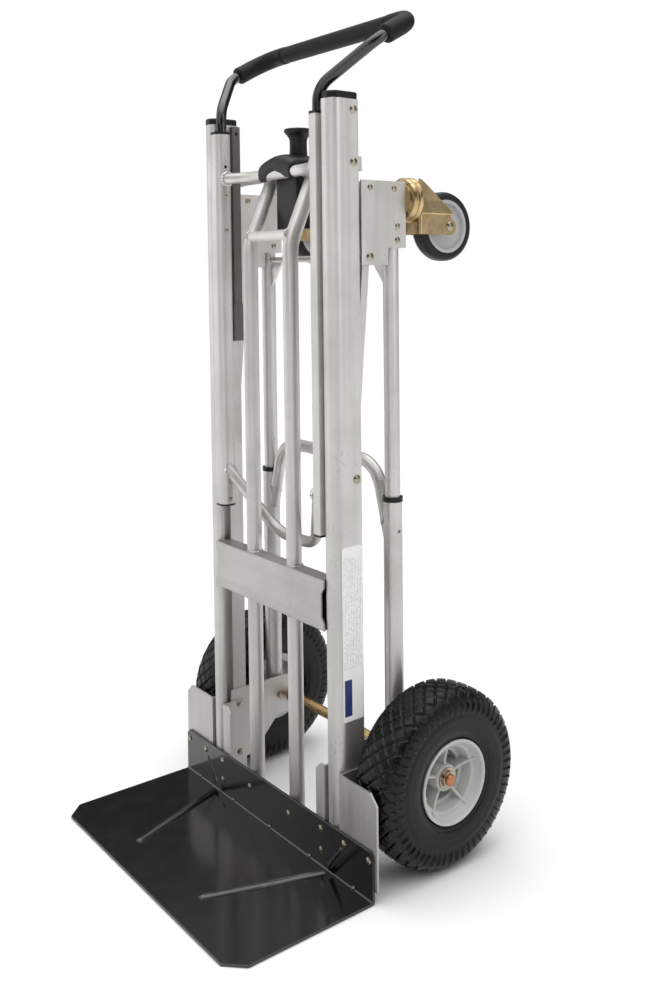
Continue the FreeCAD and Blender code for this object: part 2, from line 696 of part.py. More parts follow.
# --------------------------------------------------------------------------
# Caster brackets, struts and casters
# --------------------------------------------------------------------------
def make_caster_bracket(sign):
    """A folded bracket round the leg's head: two cheeks and a rear plate, open in front."""
    thick, outer, inner = size("bracket_sheet"), size("bracket_outer"), size("bracket_inner")
    front, back = size("bracket_front"), size("bracket_back")
    low, step_z, top = size("bracket_low"), size("bracket_step_z"), size("bracket_top")
    outline_yz = [(front, low), (size("bracket_step"), low), (size("bracket_step") + 1, step_z),
                  (back, step_z), (back, top), (front, top)]
    pieces = []
    for near, far in ((inner, inner + thick), (outer - thick, outer)):
        x = min(sign * near, sign * far)
        pieces.append(prism([(x, y, z) for y, z in outline_yz], (thick, 0, 0)))
    rear = block_at(sign, inner, outer, back - thick, back, step_z, top)
    return rear.fuse(pieces).removeSplitter()


BRACKET_RIVETS = ((69.6, 955.3, 4.4), (113.3, 955, 4.4), (119.3, 902.4, 4.4), (118.7, 883, 4.4),
                  (size("strut_top_y"), size("strut_top_z"), 6))
rivets = []
for side, sign in SIDES:
    shaped("caster_bracket_" + side, make_caster_bracket(sign))
    for face_x, out in ((size("bracket_outer"), 1), (size("bracket_inner"), -1)):
        for y, z, radius in BRACKET_RIVETS:
            rivets.append(domed_rivet((sign * face_x, y, z), (sign * out, 0, 0),
                                      radius, radius / 2))
shaped("bracket_rivets", Part.makeCompound(rivets))

for side, sign in SIDES:
    thick = size("strut_thick")
    x_low = sign * size("strut_x") - thick / 2
    half = size("strut_wide") / 2
    low = Vector(x_low, *STRUT_PIVOT)
    top = Vector(x_low, size("strut_top_y"), size("strut_top_z"))
    along = (top - low).normalize()
    across = Vector(0, along.z, -along.y) * half
    strut = prism([low + across, low - across, top - across, top + across], (thick, 0, 0))
    for end in (low, top):
        strut = strut.fuse(Part.makeCylinder(half, thick, end, Vector(1, 0, 0)))
    strut = strut.cut(Part.makeCylinder(4.08, thick, low, Vector(1, 0, 0)))
    strut = strut.cut(Part.makeCylinder(3, thick, top, Vector(1, 0, 0)))
    shaped("strut_" + side, strut.removeSplitter())


def make_caster(side, sign):
    """Swivel caster on the bracket's rear plate; its swivel axis runs along +Y."""
    x, z = sign * size("leg_x"), size("swivel_z")
    centre, back = Vector(x, size("bracket_back"), z), Vector(0, 1, 0)
    race = size("race_radius")
    # fixed half of the swivel: mounting disc, ball race and king pin
    fixed = ring_about(centre, back, [
        (0, 0), (0, 24), (3, 24), (4, race - 3), (7, race - 0.5), (10, race - 0.5),
        (13, race - 4), (13, 11), (12, 11), (12, 5), (27, 5), (27, 7), (30, 7), (30, 0)])
    shaped("caster_race_" + side, fixed)
    # swivelling half: pressed cup and two fork legs
    cup = 13.4
    fork = ring_about(centre, back, [
        (cup, 5.4), (cup, race - 4), (cup + 3, race), (cup + 6, race), (cup + 9.5, race - 3),
        (cup + 11.5, race - 8), (cup + 13, race - 10), (cup + 13, 5.4)])
    half_gap = size("caster_width") / 2 + 1.8
    wheel_y, wheel_z = size("caster_y"), size("caster_z")
    cup_y = centre.y + cup
    leg_points = [(cup_y + 8, z + 22), (cup_y + 18, z + 22), (wheel_y - 4, wheel_z + 17),
                  (wheel_y + 8, wheel_z + 14), (wheel_y + 13, wheel_z + 4),
                  (wheel_y + 12, wheel_z - 8), (wheel_y + 4, wheel_z - 12.5),
                  (cup_y + 18, wheel_z - 12.5), (cup_y + 8, z - 26)]
    for near, far in ((-half_gap - 3, -half_gap), (half_gap, half_gap + 3)):
        fork = fork.fuse(prism([(x + near, py, pz) for py, pz in leg_points], (far - near, 0, 0)))
    fork = fork.cut(cylinder(4, (x - 40, wheel_y, wheel_z), (x + 40, wheel_y, wheel_z)))
    fork = fork.cut(Part.makeCylinder(7.4, 4, centre + back * 26.4, back))
    shaped("caster_fork_" + side, fork.removeSplitter())
    # wheel axle: a bolt through both fork legs
    reach = half_gap + 3
    bolt = cylinder(4, (x - reach, wheel_y, wheel_z), (x + reach, wheel_y, wheel_z))
    head = domed_rivet((x + reach, wheel_y, wheel_z), (1, 0, 0), 6.5, 4)
    nut = cylinder(6.5, (x - reach - 4, wheel_y, wheel_z), (x - reach, wheel_y, wheel_z))
    shaped("caster_axle_" + side, bolt.fuse([head, nut]).removeSplitter())
    # wheel: soft rounded tread on a moulded hub with a recess in each face
    radius, half = size("caster_radius"), size("caster_width") / 2
    wheel, along = Vector(x, wheel_y, wheel_z), Vector(1, 0, 0)
    tread = [(-half + 1, 39), (-half, 41), (-half, radius - 6), (-half + 2, radius - 2.4),
             (-half + 6, radius - 0.4), (-half + 9, radius)]
    tread += [(-px, r) for px, r in reversed(tread)]
    hub = [(-half + 1, 39), (-half + 1, 34), (-half + 6, 32), (-half + 6, 15),
           (-half - 0.8, 13), (-half - 0.8, 4.06)]
    hub += [(-px, r) for px, r in reversed(hub)]
    shaped("caster_tyre_" + side, ring_about(wheel, along, tread))
    shaped("caster_hub_" + side, ring_about(wheel, along, hub))


for side, sign in SIDES:
    make_caster(side, sign)


# --------------------------------------------------------------------------
# Folding handle: side tubes, bows, push handle and grip
# --------------------------------------------------------------------------
def side_tube_edge(inset=0.0):
    """The side tube's D section on the right-hand side; the round side faces inwards."""
    outer = size("rail_outer") - size("rail_width") - size("side_gap") - inset
    inner, front, back = size("side_inner") + inset, size("side_front") + inset, \
        size("side_back") - inset
    round_ = size("side_round") - inset
    return [(outer, front, 1), (outer, back, 1), (inner, back, round_), (inner, front, round_)]


def make_side_tube(side, sign):
    body = new_body("side_tube_" + side)
    section = sketch_on(body, "XY_Plane", size("side_low"))
    outline(section, mirrored(sign, side_tube_edge()))
    outline(section, mirrored(sign, side_tube_edge(size("side_wall"))))
    pad(body, section, "Sizes.side_high - Sizes.side_low")
    outer = size("rail_outer") - size("rail_width")
    pin_hole = sketch_on(body, "YZ_Plane", sign * (outer + 1))
    circle(pin_hole, (size("tilt_y"), size("tilt_z")), "3.06")
    pocket(body, "PinHole", pin_hole, 5, reverse=sign < 0)
    inner_hole = sketch_on(body, "YZ_Plane", sign * (size("side_inner") - 1))
    circle(inner_hole, (size("arm_y"), 1005), "2.6")
    pocket(body, "InnerHole", inner_hole, 5, reverse=sign > 0)
    keep(body, "side_tube_" + side)


for side, sign in SIDES:
    make_side_tube(side, sign)


def side_block(sign, low, high):
    """The side tube's section as a solid block."""
    outer = size("rail_outer") - size("rail_width") - size("side_gap")
    inner, front, back = size("side_inner"), size("side_front"), size("side_back")
    block = block_at(sign, inner, outer, front, back, low, high)
    rounded = [e for e in block.Edges
               if e.BoundBox.ZLength > 1 and abs(abs(e.BoundBox.XMin) - inner) < 0.1]
    return block.makeFillet(size("side_round"), rounded)


arm_x, arm_y = size("arm_x"), size("arm_y")
plugs = []
for _, sign in SIDES:
    top_plug = side_block(sign, size("side_high"), size("side_high") + 4)
    plugs.append(top_plug.cut(Part.makeCylinder(size("arm_radius"), 40,
                                                Vector(sign * arm_x, arm_y, 1040))))
    plugs.append(side_block(sign, size("side_low") - 3, size("side_low")))
shaped("side_tube_plugs", Part.makeCompound(plugs))

shoes = []
TILT_AT = (size("tilt_y"), size("tilt_z"))
for _, sign in SIDES:
    inner = size("rail_outer") - size("rail_width")
    shoe = block_at(sign, inner + 0.3, inner + size("groove_deep") - 0.3,
                    size("groove_front") + 0.3, size("groove_back") - 0.3,
                    size("tilt_z") - 12, size("tilt_z") + 12)
    pin = cylinder(3, (sign * (inner + 1), *TILT_AT), (sign * (inner - 6), *TILT_AT))
    shoes.append(shoe.fuse(pin).removeSplitter())
shaped("guide_shoes", Part.makeCompound(shoes))

side_blocks = [side_block(sign, 400, 1100) for _, sign in SIDES]
bow_z, bow_radius = size("bow_z"), size("bow_radius")
bow_end = size("side_inner") + 5
bow_points = [(-bow_end, arm_y, bow_z), (-72, size("bow_mid"), bow_z),
              (72, size("bow_mid"), bow_z), (bow_end, arm_y, bow_z)]
BOW_BEND = 90
bow_solid = rod(bow_points, bow_radius, BOW_BEND)
bow = bent_tube(bow_points, bow_radius, 2, BOW_BEND)
shaped("top_bow", largest(bow.cut(side_blocks[0]).cut(side_blocks[1])))

lean, drop = math.radians(size("loop_lean")), size("loop_drop")
loop_plane = [(-bow_end, -6), (-48, drop), (48, drop), (bow_end, -6)]
loop_points = [(x, arm_y + math.sin(lean) * along, size("loop_z") - math.cos(lean) * along)
               for x, along in loop_plane]
loop = bent_tube(loop_points, bow_radius, 2, 55)
shaped("lower_bow", largest(loop.cut(side_blocks[0]).cut(side_blocks[1])))

# each arm leaves its side tube straight, spreads outwards to a knee, then runs back to the bar
HANDLE_BEND = 40
wide = size("knee_x")
knee = (size("knee_y"), size("knee_z"))
top_bar = (size("bar_y"), size("bar_z"))
right_arm = [(arm_x, arm_y, 960), (arm_x, arm_y, size("arm_bend_z")), (wide, *knee),
             (wide, *top_bar)]
left_arm = [(-x, y, z) for x, y, z in right_arm]
handle_points = left_arm + right_arm[::-1]
shaped("push_handle", bent_tube(handle_points, size("arm_radius"), 2, HANDLE_BEND))


def make_grip():
    """A foam sleeve over the top of the push handle, round both corners."""
    reach = 0.18
    end = [near + (far - near) * reach for near, far in zip(knee, top_bar)]
    points = [(-wide, *end), (-wide, *top_bar), (wide, *top_bar), (wide, *end)]
    sleeve = rod(points, size("grip_radius"), HANDLE_BEND)
    return sleeve.cut(rod(handle_points, size("arm_radius"), HANDLE_BEND))


shaped("handle_grip", largest(make_grip()))

# small rivets on the side tubes' flat inner faces
screws = []
for _, sign in SIDES:
    for z in (960, 906, 482):
        screws.append(domed_rivet((sign * size("side_inner"), arm_y, z), (-sign, 0, 0), 3.4, 2))
shaped("handle_screws", Part.makeCompound(screws))


# --------------------------------------------------------------------------
# Latch: housing on the crossbar, saddle on the bow, and the release knob
# --------------------------------------------------------------------------
keeper_half, knob_y = size("keeper_half"), size("knob_y")
keeper = Part.makeBox(2 * keeper_half, 32, 80, Vector(-keeper_half, 47, size("keeper_low")))
keeper = keeper.makeFillet(2.5, [e for e in keeper.Edges if e.BoundBox.ZLength > 10])
shaped("latch_keeper", largest(keeper.cut(bar_solid)))

# the housing wraps the bow in front and reaches back over the crossbar
half, top = size("saddle_half"), size("saddle_top")
under = size("crossbar_z") + size("crossbar_radius") + 1.5
saddle_yz = [(22, 974), (43, 974), (46, under), (92, under), (92, top - 3), (88, top),
             (30, top), (22, top - 8)]
saddle = prism([(-half, y, z) for y, z in saddle_yz], (2 * half, 0, 0))
sides = [e for e in saddle.Edges if e.BoundBox.XLength < 0.1 and e.BoundBox.ZMin > under + 1]
saddle = saddle.makeFillet(5, sides)
saddle = saddle.cut(bow_solid)
saddle = saddle.cut(Part.makeCylinder(size("knob_neck") + 0.3, 60, Vector(0, knob_y, 970)))
shaped("bow_saddle", largest(saddle))

neck = size("knob_neck")
shaped("release_knob", ring_about((0, knob_y, 0), (0, 0, 1), [
    (under + 0.5, 0), (under + 0.5, neck), (top + 0.6, neck), (top + 0.6, 12), (1026, 11.5),
    (1033, 16), (1035, 18.5), (1046, 20.5), (1050, 20), (1053, 16), (1054.5, 8), (1054.5, 0)]))


# --------------------------------------------------------------------------
# Check and write
# --------------------------------------------------------------------------
doc.recompute()
problems = []
for obj in doc.Objects:
    if "Invalid" in obj.State or "Error" in obj.State:
        problems.append("%s failed: %s" % (obj.Label, obj.State))
for part in PARTS:
    if part.Shape.isNull() or not part.Shape.isValid():
        problems.append("%s has no valid shape" % part.Label)
    elif not part.Shape.Solids:
        problems.append("%s holds no solid" % part.Label)
if problems:
    raise RuntimeError("; ".join(problems))
labels = [part.Label for part in PARTS]
if len(set(labels)) != len(labels) or len(labels) > 60:
    raise RuntimeError("sub-parts need their own labels, at most 60: %d" % len(labels))
for part in PARTS:
    part.Shape.exportStep("parts/%s.step" % part.Label)
print("wrote %d sub-parts" % len(PARTS))
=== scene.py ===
"""Looks of the folding platform cart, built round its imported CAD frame.

Metres throughout, in the frame's own axes: +Z up the rails, the toe plate points
to -Y, +X is the cart's right-hand side.  Metal and moulded CAD nodes keep their
shape and get finishes here; tyres, grip, latch cover, knob and welds are pieces
of their own, each riding on its CAD body.
"""

import math

import bmesh
import bpy
from mathutils import Matrix, Vector, noise


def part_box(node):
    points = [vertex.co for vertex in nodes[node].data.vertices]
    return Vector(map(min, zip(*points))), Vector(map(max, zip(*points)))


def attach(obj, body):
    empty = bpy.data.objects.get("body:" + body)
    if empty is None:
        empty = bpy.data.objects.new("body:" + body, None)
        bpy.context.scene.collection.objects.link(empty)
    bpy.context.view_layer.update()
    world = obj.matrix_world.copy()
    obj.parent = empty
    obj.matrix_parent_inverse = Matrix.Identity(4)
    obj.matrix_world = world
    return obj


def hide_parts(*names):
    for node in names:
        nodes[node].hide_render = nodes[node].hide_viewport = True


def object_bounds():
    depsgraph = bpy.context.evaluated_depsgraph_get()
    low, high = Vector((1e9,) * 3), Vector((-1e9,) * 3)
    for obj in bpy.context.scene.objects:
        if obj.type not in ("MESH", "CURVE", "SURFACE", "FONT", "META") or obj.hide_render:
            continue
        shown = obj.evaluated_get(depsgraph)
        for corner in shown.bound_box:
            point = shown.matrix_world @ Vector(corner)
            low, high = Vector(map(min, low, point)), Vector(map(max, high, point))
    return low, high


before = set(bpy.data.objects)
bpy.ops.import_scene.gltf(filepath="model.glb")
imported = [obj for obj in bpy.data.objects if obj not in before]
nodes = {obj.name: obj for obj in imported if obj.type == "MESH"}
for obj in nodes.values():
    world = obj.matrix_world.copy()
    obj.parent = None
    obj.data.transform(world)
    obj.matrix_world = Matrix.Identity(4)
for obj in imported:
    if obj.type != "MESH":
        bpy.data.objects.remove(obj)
cad_low, cad_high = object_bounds()
SIDES = (("left", -1), ("right", 1))


def middle(node):
    low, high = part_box(node)
    return (low + high) / 2


# --------------------------------------------------------------------------
# Shader helpers
# --------------------------------------------------------------------------
class Shader:
    """A node material under construction; textures use the object's own coordinates."""

    def __init__(self, name):
        self.material = bpy.data.materials.new(name)
        self.material.use_nodes = True
        self.tree = self.material.node_tree
        self.bsdf = self.tree.nodes["Principled BSDF"]
        self.where = self.tree.nodes.new("ShaderNodeTexCoord").outputs["Object"]

    def node(self, kind, **values):
        made = self.tree.nodes.new(kind)
        for key, value in values.items():
            setattr(made, key, value)
        return made

    def link(self, source, target):
        self.tree.links.new(source, target)

    def constant(self, **values):
        for key, value in values.items():
            self.bsdf.inputs[key.replace("_", " ")].default_value = value

    def stretched(self, scale):
        mapping = self.node("ShaderNodeMapping")
        mapping.inputs["Scale"].default_value = scale
        self.link(self.where, mapping.inputs["Vector"])
        return mapping.outputs["Vector"]

    def noise(self, scale, detail=3.0, roughness=0.55):
        """Noise whose scale is one number, or one for each axis."""
        made = self.node("ShaderNodeTexNoise")
        made.inputs["Detail"].default_value = detail
        made.inputs["Roughness"].default_value = roughness
        if isinstance(scale, tuple):
            made.inputs["Scale"].default_value = 1.0
            self.link(self.stretched(scale), made.inputs["Vector"])
        else:
            made.inputs["Scale"].default_value = scale
            self.link(self.where, made.inputs["Vector"])
        return made.outputs["Fac"]

    def spread(self, source, low, high, to_low=0.0, to_high=1.0):
        made = self.node("ShaderNodeMapRange")
        for key, value in (("From Min", low), ("From Max", high),
                           ("To Min", to_low), ("To Max", to_high)):
            made.inputs[key].default_value = value
        self.link(source, made.inputs["Value"])
        return made.outputs["Result"]

    def math(self, operation, first, second=None):
        made = self.node("ShaderNodeMath", operation=operation)
        for socket, value in zip(made.inputs, (first, second)):
            if value is None:
                continue
            if isinstance(value, (int, float)):
                socket.default_value = value
            else:
                self.link(value, socket)
        return made.outputs[0]

    def axis(self, letter):
        made = self.node("ShaderNodeSeparateXYZ")
        self.link(self.where, made.inputs[0])
        return made.outputs[letter]

    def mix(self, factor, first, second):
        made = self.node("ShaderNodeMix", data_type="RGBA")
        for socket, value in ((made.inputs["Factor"], factor), (made.inputs[6], first),
                              (made.inputs[7], second)):
            if isinstance(value, tuple):
                socket.default_value = (*value, 1.0)
            else:
                self.link(value, socket)
        return made.outputs[2]

    def ramp(self, source, stops):
        made = self.node("ShaderNodeValToRGB")
        points = made.color_ramp.elements
        while len(points) < len(stops):
            points.new(0.5)
        for point, (place, colour) in zip(points, stops):
            point.position = place
            point.color = (*colour, 1.0)
        self.link(source, made.inputs["Fac"])
        return made.outputs["Color"]

    def colour(self, source):
        self.link(source, self.bsdf.inputs["Base Color"])

    def rough(self, source):
        self.link(source, self.bsdf.inputs["Roughness"])

    def bump(self, height, distance, strength=1.0):
        made = self.node("ShaderNodeBump")
        made.inputs["Distance"].default_value = distance
        made.inputs["Strength"].default_value = strength
        self.link(height, made.inputs["Height"])
        last = self.bsdf.inputs["Normal"]
        if last.is_linked:
            self.link(last.links[0].from_socket, made.inputs["Normal"])
        self.link(made.outputs["Normal"], last)


# --------------------------------------------------------------------------
# Finishes
# --------------------------------------------------------------------------
def aluminium(name, grain, tone=0.68, rough=0.36):
    """Extruded or rolled aluminium: die lines along the grain, handling scuffs, dull bloom, and
    painted shade that darkens the colour towards the bottom of the cart.
    """
    fine, coarse = {
        "x": ((4.0, 700.0, 700.0), (1.2, 60.0, 60.0)),
        "z": ((700.0, 700.0, 4.0), (60.0, 60.0, 1.2)),
        "sheet": ((420.0, 420.0, 9.0), (26.0, 26.0, 3.0)),
    }[grain]
    s = Shader(name)
    s.constant(Metallic=0.82)
    lines = s.noise(fine, 2.0)
    bands = s.noise(coarse, 3.0)
    bloom = s.noise(7.0, 4.0, 0.6)
    specks = s.noise((620.0, 620.0, 170.0), 2.0, 0.7)
    patches = s.noise(15.0, 3.0, 0.65)
    scuff = s.math("MULTIPLY", s.spread(specks, 0.62, 0.70), s.spread(patches, 0.55, 0.68))

    def shade(share, blue=0.94):
        return tuple(tone * share * f for f in (1.0, 0.975, blue))

    base = s.ramp(bands, [(0.25, shade(0.80)), (0.52, shade(1.0)), (0.78, shade(1.12))])
    bloom_and_painted_shade = s.mix(s.spread(bloom, 0.45, 0.75, 0.0, 0.5), base, shade(0.62, 0.90))
    # Painted shade: below 0.85 m the colour darkens towards the bottom, up to 45 % of the way to a
    # dark tone, standing in for less light on the lower parts.
    bloom_and_painted_shade = s.mix(s.spread(s.axis("Z"), 0.85, 0.25, 0.0, 0.45), bloom_and_painted_shade, shade(0.50, 0.92))
    s.colour(s.mix(scuff, bloom_and_painted_shade, (0.085, 0.08, 0.09)))
    worn = s.math("ADD", s.spread(bands, 0.2, 0.8, rough - 0.05, rough + 0.09),
                  s.spread(bloom, 0.4, 0.75, 0.0, 0.12))
    s.rough(s.math("ADD", worn, s.spread(lines, 0.3, 0.7, -0.04, 0.05)))
    s.bump(lines, 0.00006, 0.55)
    s.bump(scuff, 0.00012, 0.6)
    s.bump(s.noise(11.0, 2.0), 0.0011, 0.3)
    return s.material


def black_paint(name, rough):
    """Gloss black powder coat with a light orange peel, dust and fine rubs."""
    s = Shader(name)
    s.constant(Specular_IOR_Level=0.85)
    dust = s.noise(26.0, 5.0, 0.65)
    rubs = s.noise((320.0, 22.0, 320.0), 2.0)
    s.colour(s.mix(s.spread(dust, 0.48, 0.85, 0.0, 0.5), (0.0035, 0.0034, 0.0036),
                   (0.011, 0.010, 0.009)))
    s.rough(s.math("ADD", s.spread(dust, 0.3, 0.8, rough, rough + 0.08),
                   s.spread(rubs, 0.55, 0.8, 0.0, 0.05)))
    s.bump(s.noise(900.0, 2.0), 0.00003, 0.3)
    return s.material


def zinc(name, warm):
    """Passivated zinc; the yellow kind drifts between gold, olive and rose."""
    s = Shader(name)
    s.constant(Metallic=1.0)
    drift = s.noise(34.0, 3.0, 0.6)
    if warm:
        tint = s.ramp(drift, [(0.26, (0.36, 0.29, 0.16)), (0.44, (0.50, 0.37, 0.19)),
                              (0.58, (0.60, 0.45, 0.25)), (0.70, (0.50, 0.34, 0.23)),
                              (0.84, (0.44, 0.41, 0.25))])
    else:
        tint = s.ramp(drift, [(0.3, (0.26, 0.23, 0.18)), (0.6, (0.42, 0.37, 0.29)),
                              (0.8, (0.34, 0.26, 0.16))])
    stain = s.spread(s.noise(60.0, 3.0, 0.5), 0.52, 0.8, 0.0, 0.25)
    s.colour(s.mix(stain, tint, (0.24, 0.17, 0.09)))
    s.rough(s.spread(s.noise(40.0, 3.0), 0.3, 0.75, 0.16, 0.30))
    s.bump(s.noise(500.0, 2.0), 0.00003, 0.4)
    s.bump(s.noise(45.0, 2.0), 0.0012, 0.35)
    return s.material


def axle_finish():
    """Yellow zinc bar whose turned ends have gone copper brown."""
    s = Shader("axle_zinc")
    s.constant(Metallic=1.0)
    drift = s.noise((45.0, 160.0, 160.0), 3.0)
    bar = s.ramp(drift, [(0.3, (0.46, 0.31, 0.14)), (0.5, (0.62, 0.43, 0.21)),
                         (0.7, (0.56, 0.37, 0.20))])
    ends = s.spread(s.math("ABSOLUTE", s.axis("X")), 0.2445, 0.2455)
    s.colour(s.mix(ends, bar, (0.42, 0.19, 0.09)))
    s.rough(s.spread(s.noise(90.0, 3.0), 0.3, 0.7, 0.22, 0.4))
    s.bump(s.noise((10.0, 400.0, 400.0), 2.0), 0.00004, 0.4)
    return s.material


def rubber(name, tone, rough, grain, depth, dusty=0.35):
    """Moulded rubber or foam: matt, dusty in patches."""
    s = Shader(name)
    s.constant(Specular_IOR_Level=0.26)
    dust = s.noise(38.0, 5.0, 0.7)
    s.colour(s.mix(s.spread(dust, 0.45, 0.8, 0.0, dusty), (tone, tone, tone * 1.02),
                   (tone * 2.4 + 0.004, tone * 2.3 + 0.0035, tone * 2.1 + 0.003)))
    s.rough(s.spread(dust, 0.3, 0.8, rough - 0.07, rough + 0.1))
    s.bump(s.noise(grain, 3.0), depth, 0.6)
    return s.material


def plastic(name, colour, rough, grain=900.0, aged=0.25):
    """Moulded plastic with a fine spark-eroded grain and slight yellowing or dust."""
    s = Shader(name)
    s.constant(Specular_IOR_Level=0.32)
    cloud = s.noise(21.0, 4.0, 0.6)
    other = tuple(min(1.0, c * f + 0.006) for c, f in zip(colour, (0.84, 0.82, 0.78)))
    s.colour(s.mix(s.spread(cloud, 0.4, 0.8, 0.0, aged + 0.3), colour, other))
    s.rough(s.spread(cloud, 0.3, 0.75, rough - 0.06, rough + 0.1))
    s.bump(s.noise(grain, 2.0), 0.00007, 0.45)
    return s.material


def label_finish(low, high):
    """Blank printed label: white film, one blue block, grey ruled columns without text."""
    s = Shader("label_film")
    s.constant(Specular_IOR_Level=0.5)
    along = s.spread(s.axis("Z"), low.z, high.z)
    across = s.spread(s.axis("Y"), low.y, high.y)
    rules = s.math("GREATER_THAN", s.math("FRACT", s.math("MULTIPLY", across, 13.0)), 0.62)
    wander = s.noise((1.0, 900.0, 340.0), 2.0)
    printed = s.math("MULTIPLY", rules, s.spread(wander, 0.46, 0.52))
    margin = s.math("MULTIPLY", s.math("GREATER_THAN", across, 0.06),
                    s.math("LESS_THAN", across, 0.94))
    body = s.math("MULTIPLY", s.math("MULTIPLY", printed, margin),
                  s.math("GREATER_THAN", along, 0.30))
    upper = s.math("LESS_THAN", along, 0.94)
    grey = s.math("MULTIPLY", s.math("MULTIPLY", body, upper), 0.5)
    block = s.math("MULTIPLY", s.math("MULTIPLY", s.math("GREATER_THAN", along, 0.03),
                                      s.math("LESS_THAN", along, 0.24)),
                   s.math("MULTIPLY", s.math("GREATER_THAN", across, 0.08),
                          s.math("LESS_THAN", across, 0.44)))
    paper = s.mix(s.spread(s.noise(60.0, 3.0), 0.4, 0.8, 0.0, 0.4), (0.80, 0.80, 0.79),
                  (0.70, 0.69, 0.66))
    s.colour(s.mix(block, s.mix(grey, paper, (0.12, 0.12, 0.13)), (0.02, 0.035, 0.14)))
    s.rough(s.spread(s.noise(40.0, 3.0), 0.3, 0.7, 0.28, 0.42))
    s.bump(s.noise(300.0, 2.0), 0.00004, 0.4)
    return s.material


FINISHES = {
    "long": aluminium("aluminium_long", "z"),
    "cross": aluminium("aluminium_cross", "x"),
    "sheet": aluminium("aluminium_sheet", "sheet", 0.66, 0.40),
    "panel": aluminium("aluminium_panel", "x", 0.56, 0.34),
    "paint": black_paint("powder_coat", 0.12),
    "tube_paint": black_paint("handle_gloss", 0.14),
    "gold": zinc("zinc_yellow", True),
    "rivet": zinc("zinc_rivet", False),
    "axle": axle_finish(),
    "bright": zinc("zinc_bright", False),
    "tyre": rubber("tyre_rubber", 0.0018, 0.30, 420.0, 0.00010, 0.4),
    "caster_tyre": rubber("caster_rubber", 0.010, 0.42, 600.0, 0.00005),
    "foam": rubber("grip_foam", 0.004, 0.55, 1300.0, 0.00018, 0.3),
    "black": plastic("black_plastic", (0.0040, 0.0040, 0.0043), 0.36),
    "hub": plastic("hub_grey", (0.50, 0.50, 0.485), 0.40, 500.0),
    "caster_hub": plastic("caster_grey", (0.44, 0.44, 0.445), 0.36, 700.0),
    "strip": plastic("strip_grey", (0.13, 0.125, 0.115), 0.45),
    "weld": aluminium("weld_metal", "sheet", 0.62, 0.26),
}

NODE_FINISH = {
    "long": ["rail", "centre_tube", "side_tube", "lower_leg", "upper_leg", "strut"],
    "cross": ["top_crossbar", "tube_brace", "top_bow", "lower_bow", "leg_arch",
              "leg_crossbar"],
    "panel": ["centre_panel"],
    "sheet": ["toe_angle", "inner_toe_angles", "axle_plate", "caster_bracket"],
    "paint": ["toe_plate"],
    "tube_paint": ["push_handle"],
    "gold": ["caster_race"],
    "rivet": ["frame_rivets", "bracket_rivets", "caster_axle"],
    "axle": ["axle"],
    "bright": ["axle_fittings", "pivot_pins", "handle_screws", "wheel_bearings"],
    "caster_tyre": ["caster_tyre"],
    "black": ["rail_caps", "side_tube_plugs", "guide_shoes", "latch_keeper", "leg_collars"],
    "caster_hub": ["caster_hub"],
    "strip": ["guide_strips"],
}


def finish_node(name, finish):
    mesh = nodes[name].data
    mesh.materials.clear()
    mesh.materials.append(FINISHES[finish])


for finish, names in NODE_FINISH.items():
    for name in names:
        for full in (name, name + "_left", name + "_right"):
            if full in nodes:
                finish_node(full, finish)


# --------------------------------------------------------------------------
# Mesh helpers
# --------------------------------------------------------------------------
def new_piece(name, mesh, body, finish, smooth=True):
    piece = bpy.data.objects.new(name, mesh)
    bpy.context.scene.collection.objects.link(piece)
    mesh.materials.append(finish if isinstance(finish, bpy.types.Material)
                          else FINISHES[finish])
    for face in mesh.polygons:
        face.use_smooth = smooth
    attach(piece, body)
    return piece


def skin(name, rows, close_rows=False, caps=False):
    """A mesh from closed rows of points; the rows may close on each other too."""
    mesh = bpy.data.meshes.new(name)
    count, width = len(rows), len(rows[0])
    faces = []
    for i in range(count if close_rows else count - 1):
        here, there = i * width, ((i + 1) % count) * width
        for j in range(width):
            beside = (j + 1) % width
            faces.append((here + j, here + beside, there + beside, there + j))
    if caps:
        faces.append(tuple(reversed(range(width))))
        faces.append(tuple(range((count - 1) * width, count * width)))
    mesh.from_pydata([tuple(p) for row in rows for p in row], [], faces)
    made = bmesh.new()
    made.from_mesh(mesh)
    bmesh.ops.recalc_face_normals(made, faces=made.faces)
    made.to_mesh(mesh)
    made.free()
    return mesh


def sweep_rows(path, radius_at, sides):
    """Rings of points round a path; the rings turn with the path without twisting."""
    rings = []
    side = None
    for i, here in enumerate(path):
        ahead = (path[min(i + 1, len(path) - 1)] - path[max(i - 1, 0)]).normalized()
        if side is None:
            side = ahead.orthogonal().normalized()
        side = (side - ahead * side.dot(ahead)).normalized()
        up = ahead.cross(side)
        radius = radius_at(i / (len(path) - 1))
        rings.append([here + (side * math.cos(t) + up * math.sin(t)) * radius
                      for t in (2 * math.pi * k / sides for k in range(sides))])
    return rings


def rounded_route(points, bend, step):
    """Points at an even pace along straight runs joined by tangent arcs."""
    points = [Vector(p) for p in points]
    route = [points[0]]
    for before, here, after in zip(points, points[1:], points[2:]):
        back, ahead = (before - here).normalized(), (after - here).normalized()
        half = back.angle(ahead) / 2
        start = here + back * (bend / math.tan(half))
        centre = here + (back + ahead).normalized() * (bend / math.sin(half))
        normal = back.cross(ahead).normalized()
        turn = math.pi - 2 * half
        count = max(4, int(bend * turn / step))
        for k in range(count + 1):
            route.append(centre + Matrix.Rotation(-turn * k / count, 3, normal)
                         @ (start - centre))
    route.append(points[-1])
    even = [route[0]]
    for first, second in zip(route, route[1:]):
        pieces = max(1, round((second - first).length / step))
        even += [first.lerp(second, k / pieces) for k in range(1, pieces + 1)]
    return even


